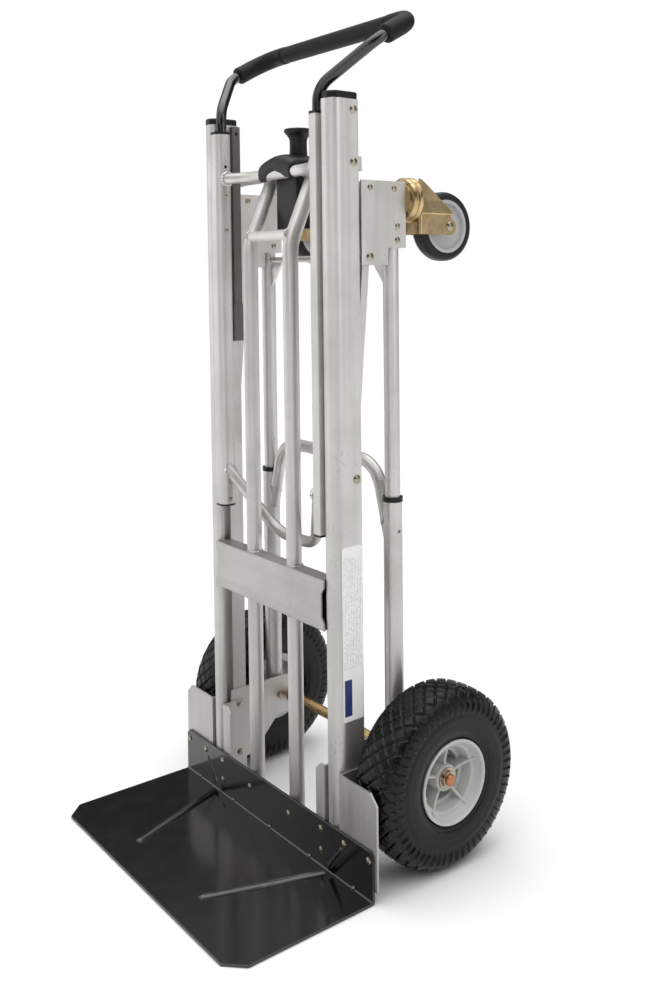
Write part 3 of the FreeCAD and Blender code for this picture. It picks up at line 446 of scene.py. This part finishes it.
# --------------------------------------------------------------------------
# Main tyres: diamond tread, shoulder lugs, sidewall rings
# --------------------------------------------------------------------------
TREAD_AROUND = 36          # diamonds round the tyre
TREAD_SAMPLES = 20         # mesh columns to a diamond
TREAD_ROWS = 6             # diamonds across
SHOULDER = 0.009           # width of the lugged shoulder beside the diamonds
GROOVE = 0.0030            # depth of the tread's grooves
LUGS = 57                  # shoulder lugs round the tyre
LUG_PITCH = 0.0135
LUG_STEP = 0.0028          # how far the lugs stand out at the tyre's side
RELIEF_ROOM = 0.0022       # the section is narrower than the CAD tyre by this on each side


def tyre_profile(half):
    """The section from bead to bead as (across, radius), evenly divided."""
    corners = [(-half + SHOULDER, 0.0560), (-half + 0.0035, 0.0625), (-half + 0.0005, 0.0740),
               (-half + 0.0, 0.0905), (-half + 0.0012, 0.1060), (-half + 0.0052, 0.1165),
               (-half + 0.0135, 0.1236), (-half + 0.0240, 0.1262), (0.0, 0.1270)]
    corners += [(-x, r) for x, r in reversed(corners[:-1])]
    path = []
    for k in range(len(corners) - 1):
        p0, p1 = corners[max(k - 1, 0)], corners[k]
        p2, p3 = corners[k + 1], corners[min(k + 2, len(corners) - 1)]
        pieces = max(3, round(math.dist(p1, p2) / 0.0013))
        for i in range(pieces):
            t = i / pieces
            path.append(tuple(
                0.5 * (2 * b + (c - a) * t + (2 * a - 5 * b + 4 * c - d) * t * t
                       + (3 * b - a - 3 * c + d) * t ** 3)
                for a, b, c, d in zip(p0, p1, p2, p3)))
    path.append(corners[-1])
    return path


def groove_depth(distance, width):
    """Groove section: full depth in the middle, sloping walls."""
    return max(0.0, min(1.0, (width - abs(distance)) / (width * 0.45)))


def lug_distance(turn):
    """How far a place is from the nearest groove between two shoulder lugs."""
    return abs(turn * LUGS - round(turn * LUGS)) * LUG_PITCH


def tread_cut(turn, across, half):
    """How deep the tyre is cut at a place; turn is in revolutions."""
    tread = half - SHOULDER
    cell = tread * 2 / TREAD_ROWS
    if abs(across) < tread:
        u, v = turn * TREAD_AROUND, across / (2 * cell)
        deepest = 0.0
        for lane in (u + v, u - v):
            off = abs(lane - round(lane)) * 0.0150
            teeth = 0.00022 * math.sin(turn * TREAD_AROUND * 2 * math.pi * 5)
            deepest = max(deepest, groove_depth(off, 0.0016 + teeth))
        return deepest * GROOVE
    return groove_depth(lug_distance(turn), 0.0021) * GROOVE


def side_relief(radius, turn):
    """Raised rings on the sidewall, and the lugs' step down to it."""
    relief = 0.0
    if radius < 0.0945:
        relief -= 0.0008
    for ring, width, height in ((0.0925, 0.0012, 0.0009), (0.0660, 0.0014, 0.0008),
                                (0.0815, 0.0007, 0.0004)):
        relief += height * max(0.0, 1 - ((radius - ring) / width) ** 2)
    if 0.0955 < radius < 0.118:
        fade = min(1.0, (radius - 0.0955) / 0.006)
        relief -= groove_depth(lug_distance(turn), 0.0020) * LUG_STEP * fade
    return relief


def make_tyre(side, sign):
    low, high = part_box("tyre_" + side)
    centre, half = (low + high) / 2, (high.x - low.x) / 2
    profile = tyre_profile(half - RELIEF_ROOM)
    columns = TREAD_AROUND * TREAD_SAMPLES
    rows = []
    for across, radius in profile:
        row = []
        for j in range(columns):
            turn = j / columns
            r, x = radius, across
            if radius > 0.112:
                r -= tread_cut(turn, across, half)
            if radius < 0.118:
                x += math.copysign(side_relief(radius, turn), across)
            angle = 2 * math.pi * turn
            row.append((centre.x + sign * x, centre.y + r * math.cos(angle),
                        centre.z + r * math.sin(angle)))
        rows.append(row)
    mesh = skin("tread_" + side, rows)
    piece = new_piece("tread_" + side, mesh, "wheel_" + side, "tyre")
    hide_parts("tyre_" + side)


for side, sign in SIDES:
    make_tyre(side, sign)


# --------------------------------------------------------------------------
# Wheel hubs and caster forks
# --------------------------------------------------------------------------
def joined(name, meshes):
    """One mesh from several."""
    made = bmesh.new()
    for mesh in meshes:
        made.from_mesh(mesh)
        bpy.data.meshes.remove(mesh)
    whole = bpy.data.meshes.new(name)
    made.to_mesh(whole)
    made.free()
    return whole


def turned_about(centre, axis, points, sides=96):
    """A closed ring turned about a line along X or Y from (distance, radius) points."""
    rows = []
    for along, radius in points:
        row = []
        for k in range(sides):
            angle = 2 * math.pi * k / sides
            out, up = radius * math.cos(angle), radius * math.sin(angle)
            offset = (along, out, up) if axis == "x" else (out, along, up)
            row.append(Vector(centre) + Vector(offset))
        rows.append(row)
    return skin("ring", rows, close_rows=True)


SPOKES = 5
SPOKE_THICK = 0.0040


def spoke(centre, sign, angle, stations):
    """A rib from the boss to the rim; stations are (radius, foot, top) from the middle."""
    out = Vector((0, math.cos(angle), math.sin(angle)))
    side = Vector((0, -math.sin(angle), math.cos(angle)))
    rows = []
    for radius, foot, top in stations:
        half = SPOKE_THICK / 2
        section = [(foot, -half), (top - 0.001, -half), (top, -half + 0.001),
                   (top, half - 0.001), (top - 0.001, half), (foot, half)]
        rows.append([centre + out * radius + side * across + Vector((sign * x, 0, 0))
                     for x, across in section])
    return skin("spoke", rows, caps=True)


def make_hub(side, sign):
    """Dished moulded hub: rim with a rolled lip, two steps, a deep floor, boss and ribs."""
    low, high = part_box("hub_" + side)
    centre = Vector((0, (low.y + high.y) / 2, (low.z + high.z) / 2))
    lip = max(abs(low.x), abs(high.x))
    back = min(abs(low.x), abs(high.x))
    rim = (high.z - low.z) / 2
    profile = [(back, 0.046), (back, rim - 0.003), (lip - 0.006, rim - 0.003),
               (lip - 0.003, rim), (lip - 0.0008, rim), (lip, rim - 0.0008),
               (lip, rim - 0.0030), (lip - 0.0012, rim - 0.0044), (lip - 0.0035, rim - 0.0052),
               (lip - 0.0130, rim - 0.0078), (lip - 0.0142, rim - 0.0088),
               (lip - 0.0146, rim - 0.0125), (lip - 0.0152, rim - 0.0138),
               (lip - 0.0290, rim - 0.0168), (lip - 0.0304, rim - 0.0178),
               (lip - 0.0308, 0.0370), (lip - 0.0316, 0.0356), (lip - 0.0450, 0.0345),
               (lip - 0.0460, 0.0330), (lip - 0.0462, 0.0205), (lip - 0.0195, 0.0188),
               (lip - 0.0182, 0.0180), (lip - 0.0180, 0.0132), (back - 0.0030, 0.0132),
               (back - 0.0030, 0.0190), (lip - 0.0520, 0.0210), (lip - 0.0520, 0.0420),
               (back + 0.001, 0.0440)]
    meshes = [turned_about(centre, "x", [(sign * x, r) for x, r in profile], 128)]
    stations = [(0.0175, lip - 0.050, lip - 0.0205), (0.030, lip - 0.050, lip - 0.0190),
                (0.0440, lip - 0.036, lip - 0.0150), (rim - 0.0075, lip - 0.020, lip - 0.0098)]
    for i in range(SPOKES):
        meshes.append(spoke(centre, sign, math.radians(90 + 72 * i), stations))
    piece = new_piece("dished_hub_" + side, joined("dished_hub", meshes), "wheel_" + side,
                      "hub", smooth=False)
    smooth_by_angle(piece)
    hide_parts("hub_" + side)


def smooth_by_angle(piece, limit=38):
    """Smooth faces, with sharp edges kept where the surface turns quickly."""
    made = bmesh.new()
    made.from_mesh(piece.data)
    for face in made.faces:
        face.smooth = True
    for edge in made.edges:
        if len(edge.link_faces) == 2 and edge.calc_face_angle(0) > math.radians(limit):
            edge.smooth = False
    made.to_mesh(piece.data)
    made.free()


def make_fork(side):
    """Pressed swivel fork: cup, a folded shoulder over each leg, and a U-shaped band."""
    low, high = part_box("caster_fork_" + side)
    x = (low.x + high.x) / 2
    wheel = middle("caster_tyre_" + side)
    race = middle("caster_race_" + side)
    cup_front = low.y
    cup_radius = (high.x - low.x) / 2
    sheet = 0.0026
    cup = [(0.0, 0.0054), (0.0, cup_radius - 0.004), (0.0015, cup_radius - 0.0015),
           (0.0035, cup_radius), (0.0055, cup_radius), (0.0080, cup_radius - 0.0018),
           (0.0098, cup_radius - 0.0052), (0.0112, cup_radius - 0.0080),
           (0.0122, cup_radius - 0.0098), (0.0130, cup_radius - 0.0120), (0.0130, 0.0054)]
    meshes = [turned_about((race.x, cup_front, race.z), "y", cup)]
    half = 0.0178
    front, tail = cup_front + 0.0095, high.y
    bottom, band_top = wheel.z - 0.0125, wheel.z + 0.0165
    bend = 0.0045

    def band_edge(inset, back):
        """Plan of the U from the right leg's tail round the front to the left leg's."""
        reach, corner = half - inset, max(0.001, bend - inset)
        plan = [(reach, back)]
        for k in range(7):
            angle = math.radians(90 * k / 6)
            plan.append((reach - corner + corner * math.cos(angle),
                         front + inset + corner - corner * math.sin(angle)))
        return plan + [(-px, py) for px, py in reversed(plan)]

    def tail_at(z):
        """The band's end is round about the wheel's axle."""
        down = max(-1.0, min(1.0, (z - (wheel.z - 0.001)) / 0.0125))
        return wheel.y + 0.0128 * math.sqrt(max(0.05, 1 - down * down))

    rows = []
    steps = 16
    for i in range(steps + 1):
        z = bottom + (band_top - bottom) * i / steps
        back = min(tail_at(z), tail)
        loop = band_edge(0, back) + list(reversed(band_edge(sheet, back)))
        rows.append([(x + px, py, z) for px, py in loop])
    meshes.append(skin("band", rows, caps=True))
    crown = high.z - 0.0015
    shoulder = [(0.0000, half - 0.0002), (0.0004, half + 0.0030), (0.0020, half + 0.0034),
                (0.0100, half + 0.0008), (0.0180, half - 0.0022), (0.0196, half - 0.0028),
                (0.0220, half - 0.0029)]
    upright = crown - band_top - 0.022
    shoulder += [(0.022 + upright * k / 10, half - 0.0029) for k in range(1, 11)]
    foot_y, crown_y = wheel.y + 0.0045, front + 0.0060
    for sign in (1, -1):
        rows = []
        for rise, reach in shoulder:
            z = band_top + rise - 0.0004
            share = max(0.0, (z - band_top) / (crown - band_top))
            back = foot_y - (foot_y - crown_y) * share ** 1.3
            start = front + 0.001 + 0.002 * share
            outside = [(reach, start + (back - start) * k / 6) for k in range(7)]
            inside = [(reach - sheet, py) for _, py in reversed(outside)]
            rows.append([(x + sign * px, py, z) for px, py in outside + inside])
        meshes.append(skin("shoulder", rows, caps=True))
    piece = new_piece("pressed_fork_" + side, joined("pressed_fork", meshes),
                      "caster_fork_" + side, "gold", smooth=False)
    smooth_by_angle(piece, 30)
    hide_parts("caster_fork_" + side)


for side, sign in SIDES:
    make_hub(side, sign)
    make_fork(side)


# --------------------------------------------------------------------------
# Grip: foam sleeve with a seam at each end of the straight part
# --------------------------------------------------------------------------
HANDLE_TUBE = 0.008        # radius of the push handle's tube
HANDLE_BEND = 0.040
GRIP_STEP = 0.0012         # pace of the rings along the sleeve
GRIP_SEAMS = (0.103, 0.1055)


def make_grip():
    """The sleeve follows the handle's bar and the straight ends of its two arms."""
    low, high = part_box("handle_grip")
    _, handle_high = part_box("push_handle")
    radius = high.z - handle_high.z + HANDLE_TUBE
    arm_x = handle_high.x - HANDLE_TUBE
    bar = Vector((0, high.y - radius, high.z - radius))
    # the arms' slope and the sleeve's foot depend on each other, so they are found together
    slope = 0.5
    for _ in range(20):
        foot_y = low.y + radius * math.sin(slope)
        foot_z = low.z + radius * math.cos(slope)
        slope = math.atan2(bar.z - foot_z, bar.y - foot_y)
    ends = [Vector((x, foot_y, foot_z)) for x in (-arm_x, arm_x)]
    corners = [Vector((x, bar.y, bar.z)) for x in (-arm_x, arm_x)]
    path = rounded_route([ends[0], corners[0], corners[1], ends[1]], HANDLE_BEND, GRIP_STEP)
    length = GRIP_STEP * (len(path) - 1)

    def radius_at(t):
        from_end = min(t, 1 - t) * length
        size = radius - 0.0002
        if from_end < 0.004:
            size -= 0.0035 * (1 - from_end / 0.004) ** 2
        for seam in GRIP_SEAMS:
            size -= 0.0011 * max(0.0, 1 - abs(from_end - seam) / 0.0011)
        if from_end > GRIP_SEAMS[1]:
            size -= 0.0006
        return size * (1 + 0.006 * noise.noise(Vector((t * 40, 0, 0))))

    rows = sweep_rows(path, radius_at, 40)
    mesh = skin("grip_sleeve", rows, caps=True)
    piece = new_piece("grip_sleeve", mesh, "handle_frame", "foam")
    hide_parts("handle_grip")


make_grip()


# --------------------------------------------------------------------------
# Latch cover over the bow, and the release knob
# --------------------------------------------------------------------------
def make_latch_cover():
    """A winged moulding: high round the knob, its wings drooping over the bow."""
    low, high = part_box("bow_saddle")
    half = (high.x - low.x) / 2
    steps = 24
    rows = []
    for i in range(steps + 1):
        u = -1 + 2 * i / steps          # -1 at the left wing's tip, 1 at the right one's
        wing = abs(u)
        shrink = math.sqrt(max(0.0, 1 - max(0.0, wing - 0.9) ** 2 / 0.0101))
        top = high.z + 0.0035 - 0.011 * wing ** 1.8
        under_back = low.z + 0.0232
        front, back = low.y + 0.0005, high.y - 0.001 - 0.020 * wing ** 2
        droop = low.z + 0.0005 + 0.013 * (1 - wing) ** 1.5
        loop = [(front + 0.003, droop), (front + 0.011, droop), (front + 0.0185, droop + 0.002),
                (front + 0.0235, under_back), (back - 0.004, under_back),
                (back, under_back + 0.004), (back, top - 0.005), (back - 0.006, top),
                (front + 0.020, top), (front + 0.009, top - 0.003),
                (front + 0.001, top - 0.010), (front, droop + 0.008)]
        mid_y = sum(p[0] for p in loop) / len(loop)
        mid_z = sum(p[1] for p in loop) / len(loop)
        keep = 0.45 + 0.55 * shrink
        rows.append([(u * half * 0.995, mid_y + (y - mid_y) * keep, mid_z + (z - mid_z) * keep)
                     for y, z in loop])
    mesh = skin("latch_cover", rows, caps=True)
    piece = new_piece("latch_cover", mesh, "handle_frame", "black")
    soften = piece.modifiers.new("round", "SUBSURF")
    soften.levels = soften.render_levels = 2
    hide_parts("bow_saddle")


def make_knob():
    """A turned neck and a saucer whose rim has six shallow lobes."""
    low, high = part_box("release_knob")
    centre, top, rim = middle("release_knob"), high.z, (high.x - low.x) / 2 + 0.0015
    sides = 120
    profile = [(low.z, 0.0058), (top - 0.0425, 0.0058), (top - 0.0422, 0.0130),
               (top - 0.0412, 0.0137), (top - 0.0300, 0.0131), (top - 0.0210, 0.0130),
               (top - 0.0200, 0.0136), (top - 0.0192, 0.0130), (top - 0.0165, 0.0133),
               (top - 0.0130, 0.0148), (top - 0.0085, rim - 0.0036), (top - 0.0060, rim - 0.0010),
               (top - 0.0042, rim - 0.0003), (top - 0.0026, rim), (top - 0.0012, rim - 0.0006),
               (top - 0.0004, rim - 0.0022), (top - 0.0010, rim - 0.0050),
               (top - 0.0022, 0.0080), (top - 0.0024, 0.0020)]

    rows = []
    for height, radius in profile:
        row = []
        for k in range(sides):
            angle = 2 * math.pi * k / sides
            r = radius
            if height > top - 0.012:
                r *= 1 - 0.02 * (0.5 + 0.5 * math.cos(6 * angle))
            row.append((centre.x + r * math.cos(angle), centre.y + r * math.sin(angle), height))
        rows.append(row)
    piece = new_piece("knob_head", skin("knob_head", rows, caps=True), "release_knob", "black")
    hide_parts("release_knob")


make_latch_cover()
make_knob()


# --------------------------------------------------------------------------
# Weld beads and label
# --------------------------------------------------------------------------
BEAD_STEP = 0.0009         # pace of the rings along a weld bead


def weld_bead(name, centre, normal, radius, body, width):
    """A rippled bead of one width round a tube's end."""
    normal = Vector(normal).normalized()
    first = normal.orthogonal().normalized()
    second = normal.cross(first)
    centre = Vector(centre)
    count = max(24, int(radius * 2 * math.pi / BEAD_STEP))
    path = []
    for k in range(count + 1):
        angle = 2 * math.pi * k / count
        path.append(centre + (first * math.cos(angle) + second * math.sin(angle)) * radius)

    def ripple(t):
        wave = 0.14 * math.sin(t * count * 0.9)
        return width * (1 + wave + 0.22 * noise.noise(Vector((t * 19, radius * 900, 3))))

    rows = sweep_rows(path, ripple, 10)
    piece = new_piece(name, skin(name, rows, caps=True), body, "weld")


def make_welds(side, sign):
    """The beads of one side; each sits where its tube meets the next piece."""
    inner_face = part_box("side_tube_" + side)[0 if sign > 0 else 1].x
    bow_low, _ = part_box("top_bow")
    weld_bead("weld_top_bow_" + side,
              (inner_face - sign * 0.0008, bow_low.y + 0.0097, middle("top_bow").z),
              (1, 0, 0), 0.0090, "handle_frame", 0.0030)
    loop_low, loop_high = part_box("lower_bow")
    weld_bead("weld_lower_bow_" + side,
              (inner_face - sign * 0.001, loop_low.y + 0.0105, loop_high.z - 0.0125),
              (1, 0, 0.45), 0.0094, "handle_frame", 0.0028)
    tube_low, tube_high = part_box("centre_tube_" + side)
    tube_x, tube_y = middle("centre_tube_" + side).x, tube_low.y + 0.0114
    weld_bead("weld_tube_top_" + side, (tube_x, tube_high.y - 0.0115, tube_high.z - 0.0062),
              (0, 0.4, 0.92), 0.0116, "frame", 0.0022)
    panel_low, panel_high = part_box("centre_panel")
    for tag, z in (("top", panel_high.z), ("foot", panel_low.z)):
        weld_bead("weld_panel_%s_%s" % (tag, side), (tube_x, tube_y, z), (0, 0, 1), 0.0118,
                  "frame", 0.0017)
    brace, ends = middle("tube_brace"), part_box("tube_brace")
    brace_radius = (ends[1].z - ends[0].z) / 2
    brace_end = ends[0 if sign < 0 else 1].x
    weld_bead("weld_brace_" + side, (brace_end - sign * 0.0022, brace.y, brace.z),
              (1, 0, 0), brace_radius + 0.0004, "frame", 0.0018)
    arch_low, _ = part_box("leg_arch")
    leg = middle("lower_leg_" + side)
    weld_bead("weld_arch_" + side, (leg.x - sign * 0.0125, leg.y, arch_low.z + 0.031),
              (sign * 0.95, 0, -0.3), 0.0103, "leg_frame", 0.0023)
    leg_bar_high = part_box("leg_crossbar")[1].z
    weld_bead("weld_leg_bar_" + side, (leg.x - sign * 0.0112, leg.y, leg_bar_high - 0.005),
              (1, 0, 0), 0.0060, "leg_upper", 0.0020)


def make_label():
    """A blank label on the right rail's outer face."""
    rail_low, rail_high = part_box("rail_right")
    low = Vector((rail_high.x, rail_low.y + 0.0095, 0.216))
    high = Vector((rail_high.x + 0.0002, rail_high.y - 0.0008, 0.460))
    corner, steps = 0.003, 6
    front, back = low.y + corner, high.y - corner
    foot, head = low.z + corner, high.z - corner
    outline = []
    for cy, cz, start in ((back, head, 0), (front, head, 90), (front, foot, 180), (back, foot, 270)):
        for k in range(steps + 1):
            angle = math.radians(start + 90 * k / steps)
            outline.append((cy + corner * math.cos(angle), cz + corner * math.sin(angle)))
    rows = [[(x, y, z) for y, z in outline] for x in (low.x - 0.0001, high.x)]
    piece = new_piece("blank_label", skin("blank_label", rows, caps=True), "frame",
                      label_finish(low, high), smooth=False)


for side, sign in SIDES:
    make_welds(side, sign)
make_label()


# --------------------------------------------------------------------------
# Stage, light and camera
# --------------------------------------------------------------------------
ROOM = 0.07                # brightness of the room's walls
CEILING = 1.5              # brightness of its ceiling
PANELS = (                 # azimuth and half width in degrees, brightness
    (-146, 50, 0.58),
    (34, 44, 0.48),
    (-46, 13, 1.25),
    (-2, 9, 0.70),
    (100, 16, 0.45),
)


def make_floor():
    """A wide pale disc just under the cart."""
    mesh = bpy.data.meshes.new("floor")
    made = bmesh.new()
    bmesh.ops.create_circle(made, cap_ends=True, segments=96, radius=12.0)
    made.to_mesh(mesh)
    made.free()
    floor = bpy.data.objects.new("floor", mesh)
    floor.location.z = cad_low.z - 0.0006
    bpy.context.scene.collection.objects.link(floor)
    s = Shader("studio_floor")
    s.colour(s.mix(s.spread(s.noise(3.0, 2.0), 0.3, 0.7, 0.0, 0.4), (0.86, 0.86, 0.86),
                   (0.83, 0.83, 0.83)))
    s.constant(Roughness=0.8, Specular_IOR_Level=0.2)
    mesh.materials.append(s.material)


def area_light(name, place, size, power):
    """A rectangular light that faces the middle of the cart."""
    light = bpy.data.lights.new(name, "AREA")
    light.shape = "RECTANGLE"
    light.size, light.size_y = size
    light.energy = power
    lamp = bpy.data.objects.new(name, light)
    lamp.location = place
    to_cart = Vector((0, 0, 0.6)) - Vector(place)
    lamp.rotation_euler = to_cart.to_track_quat("-Z", "Y").to_euler()
    bpy.context.scene.collection.objects.link(lamp)


def make_world():
    """White to the camera; for light and reflections a dim room with tall soft panels."""
    world = bpy.data.worlds.new("studio")
    bpy.context.scene.world = world
    world.use_nodes = True
    tree = world.node_tree
    new = tree.nodes.new
    way = new("ShaderNodeTexCoord").outputs["Generated"]

    def ranged(source, low, high, to_high, to_low=0.0):
        made = new("ShaderNodeMapRange")
        made.interpolation_type = "SMOOTHSTEP"
        for key, value in (("From Min", low), ("From Max", high),
                           ("To Min", to_low), ("To Max", to_high)):
            made.inputs[key].default_value = value
        tree.links.new(source, made.inputs["Value"])
        return made.outputs["Result"]

    def plus(first, second):
        made = new("ShaderNodeMath")
        made.operation = "ADD"
        tree.links.new(first, made.inputs[0])
        tree.links.new(second, made.inputs[1])
        return made.outputs[0]

    parts = new("ShaderNodeSeparateXYZ")
    tree.links.new(way, parts.inputs[0])
    light = ranged(parts.outputs["Z"], 0.45, 0.85, CEILING, ROOM)
    for azimuth, width, strength in PANELS:
        dot = new("ShaderNodeVectorMath")
        dot.operation = "DOT_PRODUCT"
        tree.links.new(way, dot.inputs[0])
        dot.inputs[1].default_value = (math.cos(math.radians(azimuth)),
                                       math.sin(math.radians(azimuth)), 0)
        light = plus(light, ranged(dot.outputs["Value"], math.cos(math.radians(width)),
                                   math.cos(math.radians(width * 0.55)), strength))
    shade = tree.nodes["Background"]
    shade.inputs["Strength"].default_value = 1.0
    tree.links.new(light, shade.inputs["Color"])
    white = new("ShaderNodeBackground")
    white.inputs["Color"].default_value = (1, 1, 1, 1)
    seen = new("ShaderNodeLightPath")
    blend = new("ShaderNodeMixShader")
    tree.links.new(seen.outputs["Is Camera Ray"], blend.inputs["Fac"])
    tree.links.new(shade.outputs["Background"], blend.inputs[1])
    tree.links.new(white.outputs["Background"], blend.inputs[2])
    tree.links.new(blend.outputs[0], tree.nodes["World Output"].inputs["Surface"])


def make_overhead_sun():
    """A soft light straight down that keeps the floor evenly pale."""
    light = bpy.data.lights.new("overhead", "SUN")
    light.energy = 1.0
    light.angle = math.radians(70)
    lamp = bpy.data.objects.new("overhead", light)
    bpy.context.scene.collection.objects.link(lamp)


def make_camera():
    """A shift lens, level with the cart's handle, from the right front."""
    camera = bpy.data.cameras.new("camera")
    camera.lens, camera.sensor_width = 37.289, 36.0
    camera.shift_x, camera.shift_y = -0.0132, -0.18
    camera.clip_start, camera.clip_end = 0.05, 60.0
    yaw, pitch, roll = math.radians(51.838), math.radians(2.549), math.radians(-0.614)
    holder = bpy.data.objects.new("camera", camera)
    ahead = Vector((-math.sin(yaw) * math.cos(pitch), math.cos(yaw) * math.cos(pitch),
                    -math.sin(pitch)))
    right = Vector((math.cos(yaw), math.sin(yaw), 0))
    up = right.cross(ahead)
    tilted_right = right * math.cos(roll) + up * math.sin(roll)
    tilted_up = up * math.cos(roll) - right * math.sin(roll)
    turn = Matrix((tilted_right, tilted_up, -ahead)).transposed().to_4x4()
    holder.matrix_world = Matrix.Translation((1.2780, -0.8693, 0.8359)) @ turn
    bpy.context.scene.collection.objects.link(holder)
    bpy.context.scene.camera = holder


make_floor()
make_world()
make_overhead_sun()
area_light("key", (0.9, -3.8, 2.9), (3.0, 2.0), 24)
area_light("left", (-3.2, -2.0, 1.7), (0.8, 2.6), 9)
area_light("right", (3.4, 1.0, 2.1), (0.9, 2.6), 12)
make_camera()
bpy.context.scene.view_settings.view_transform = "Standard"
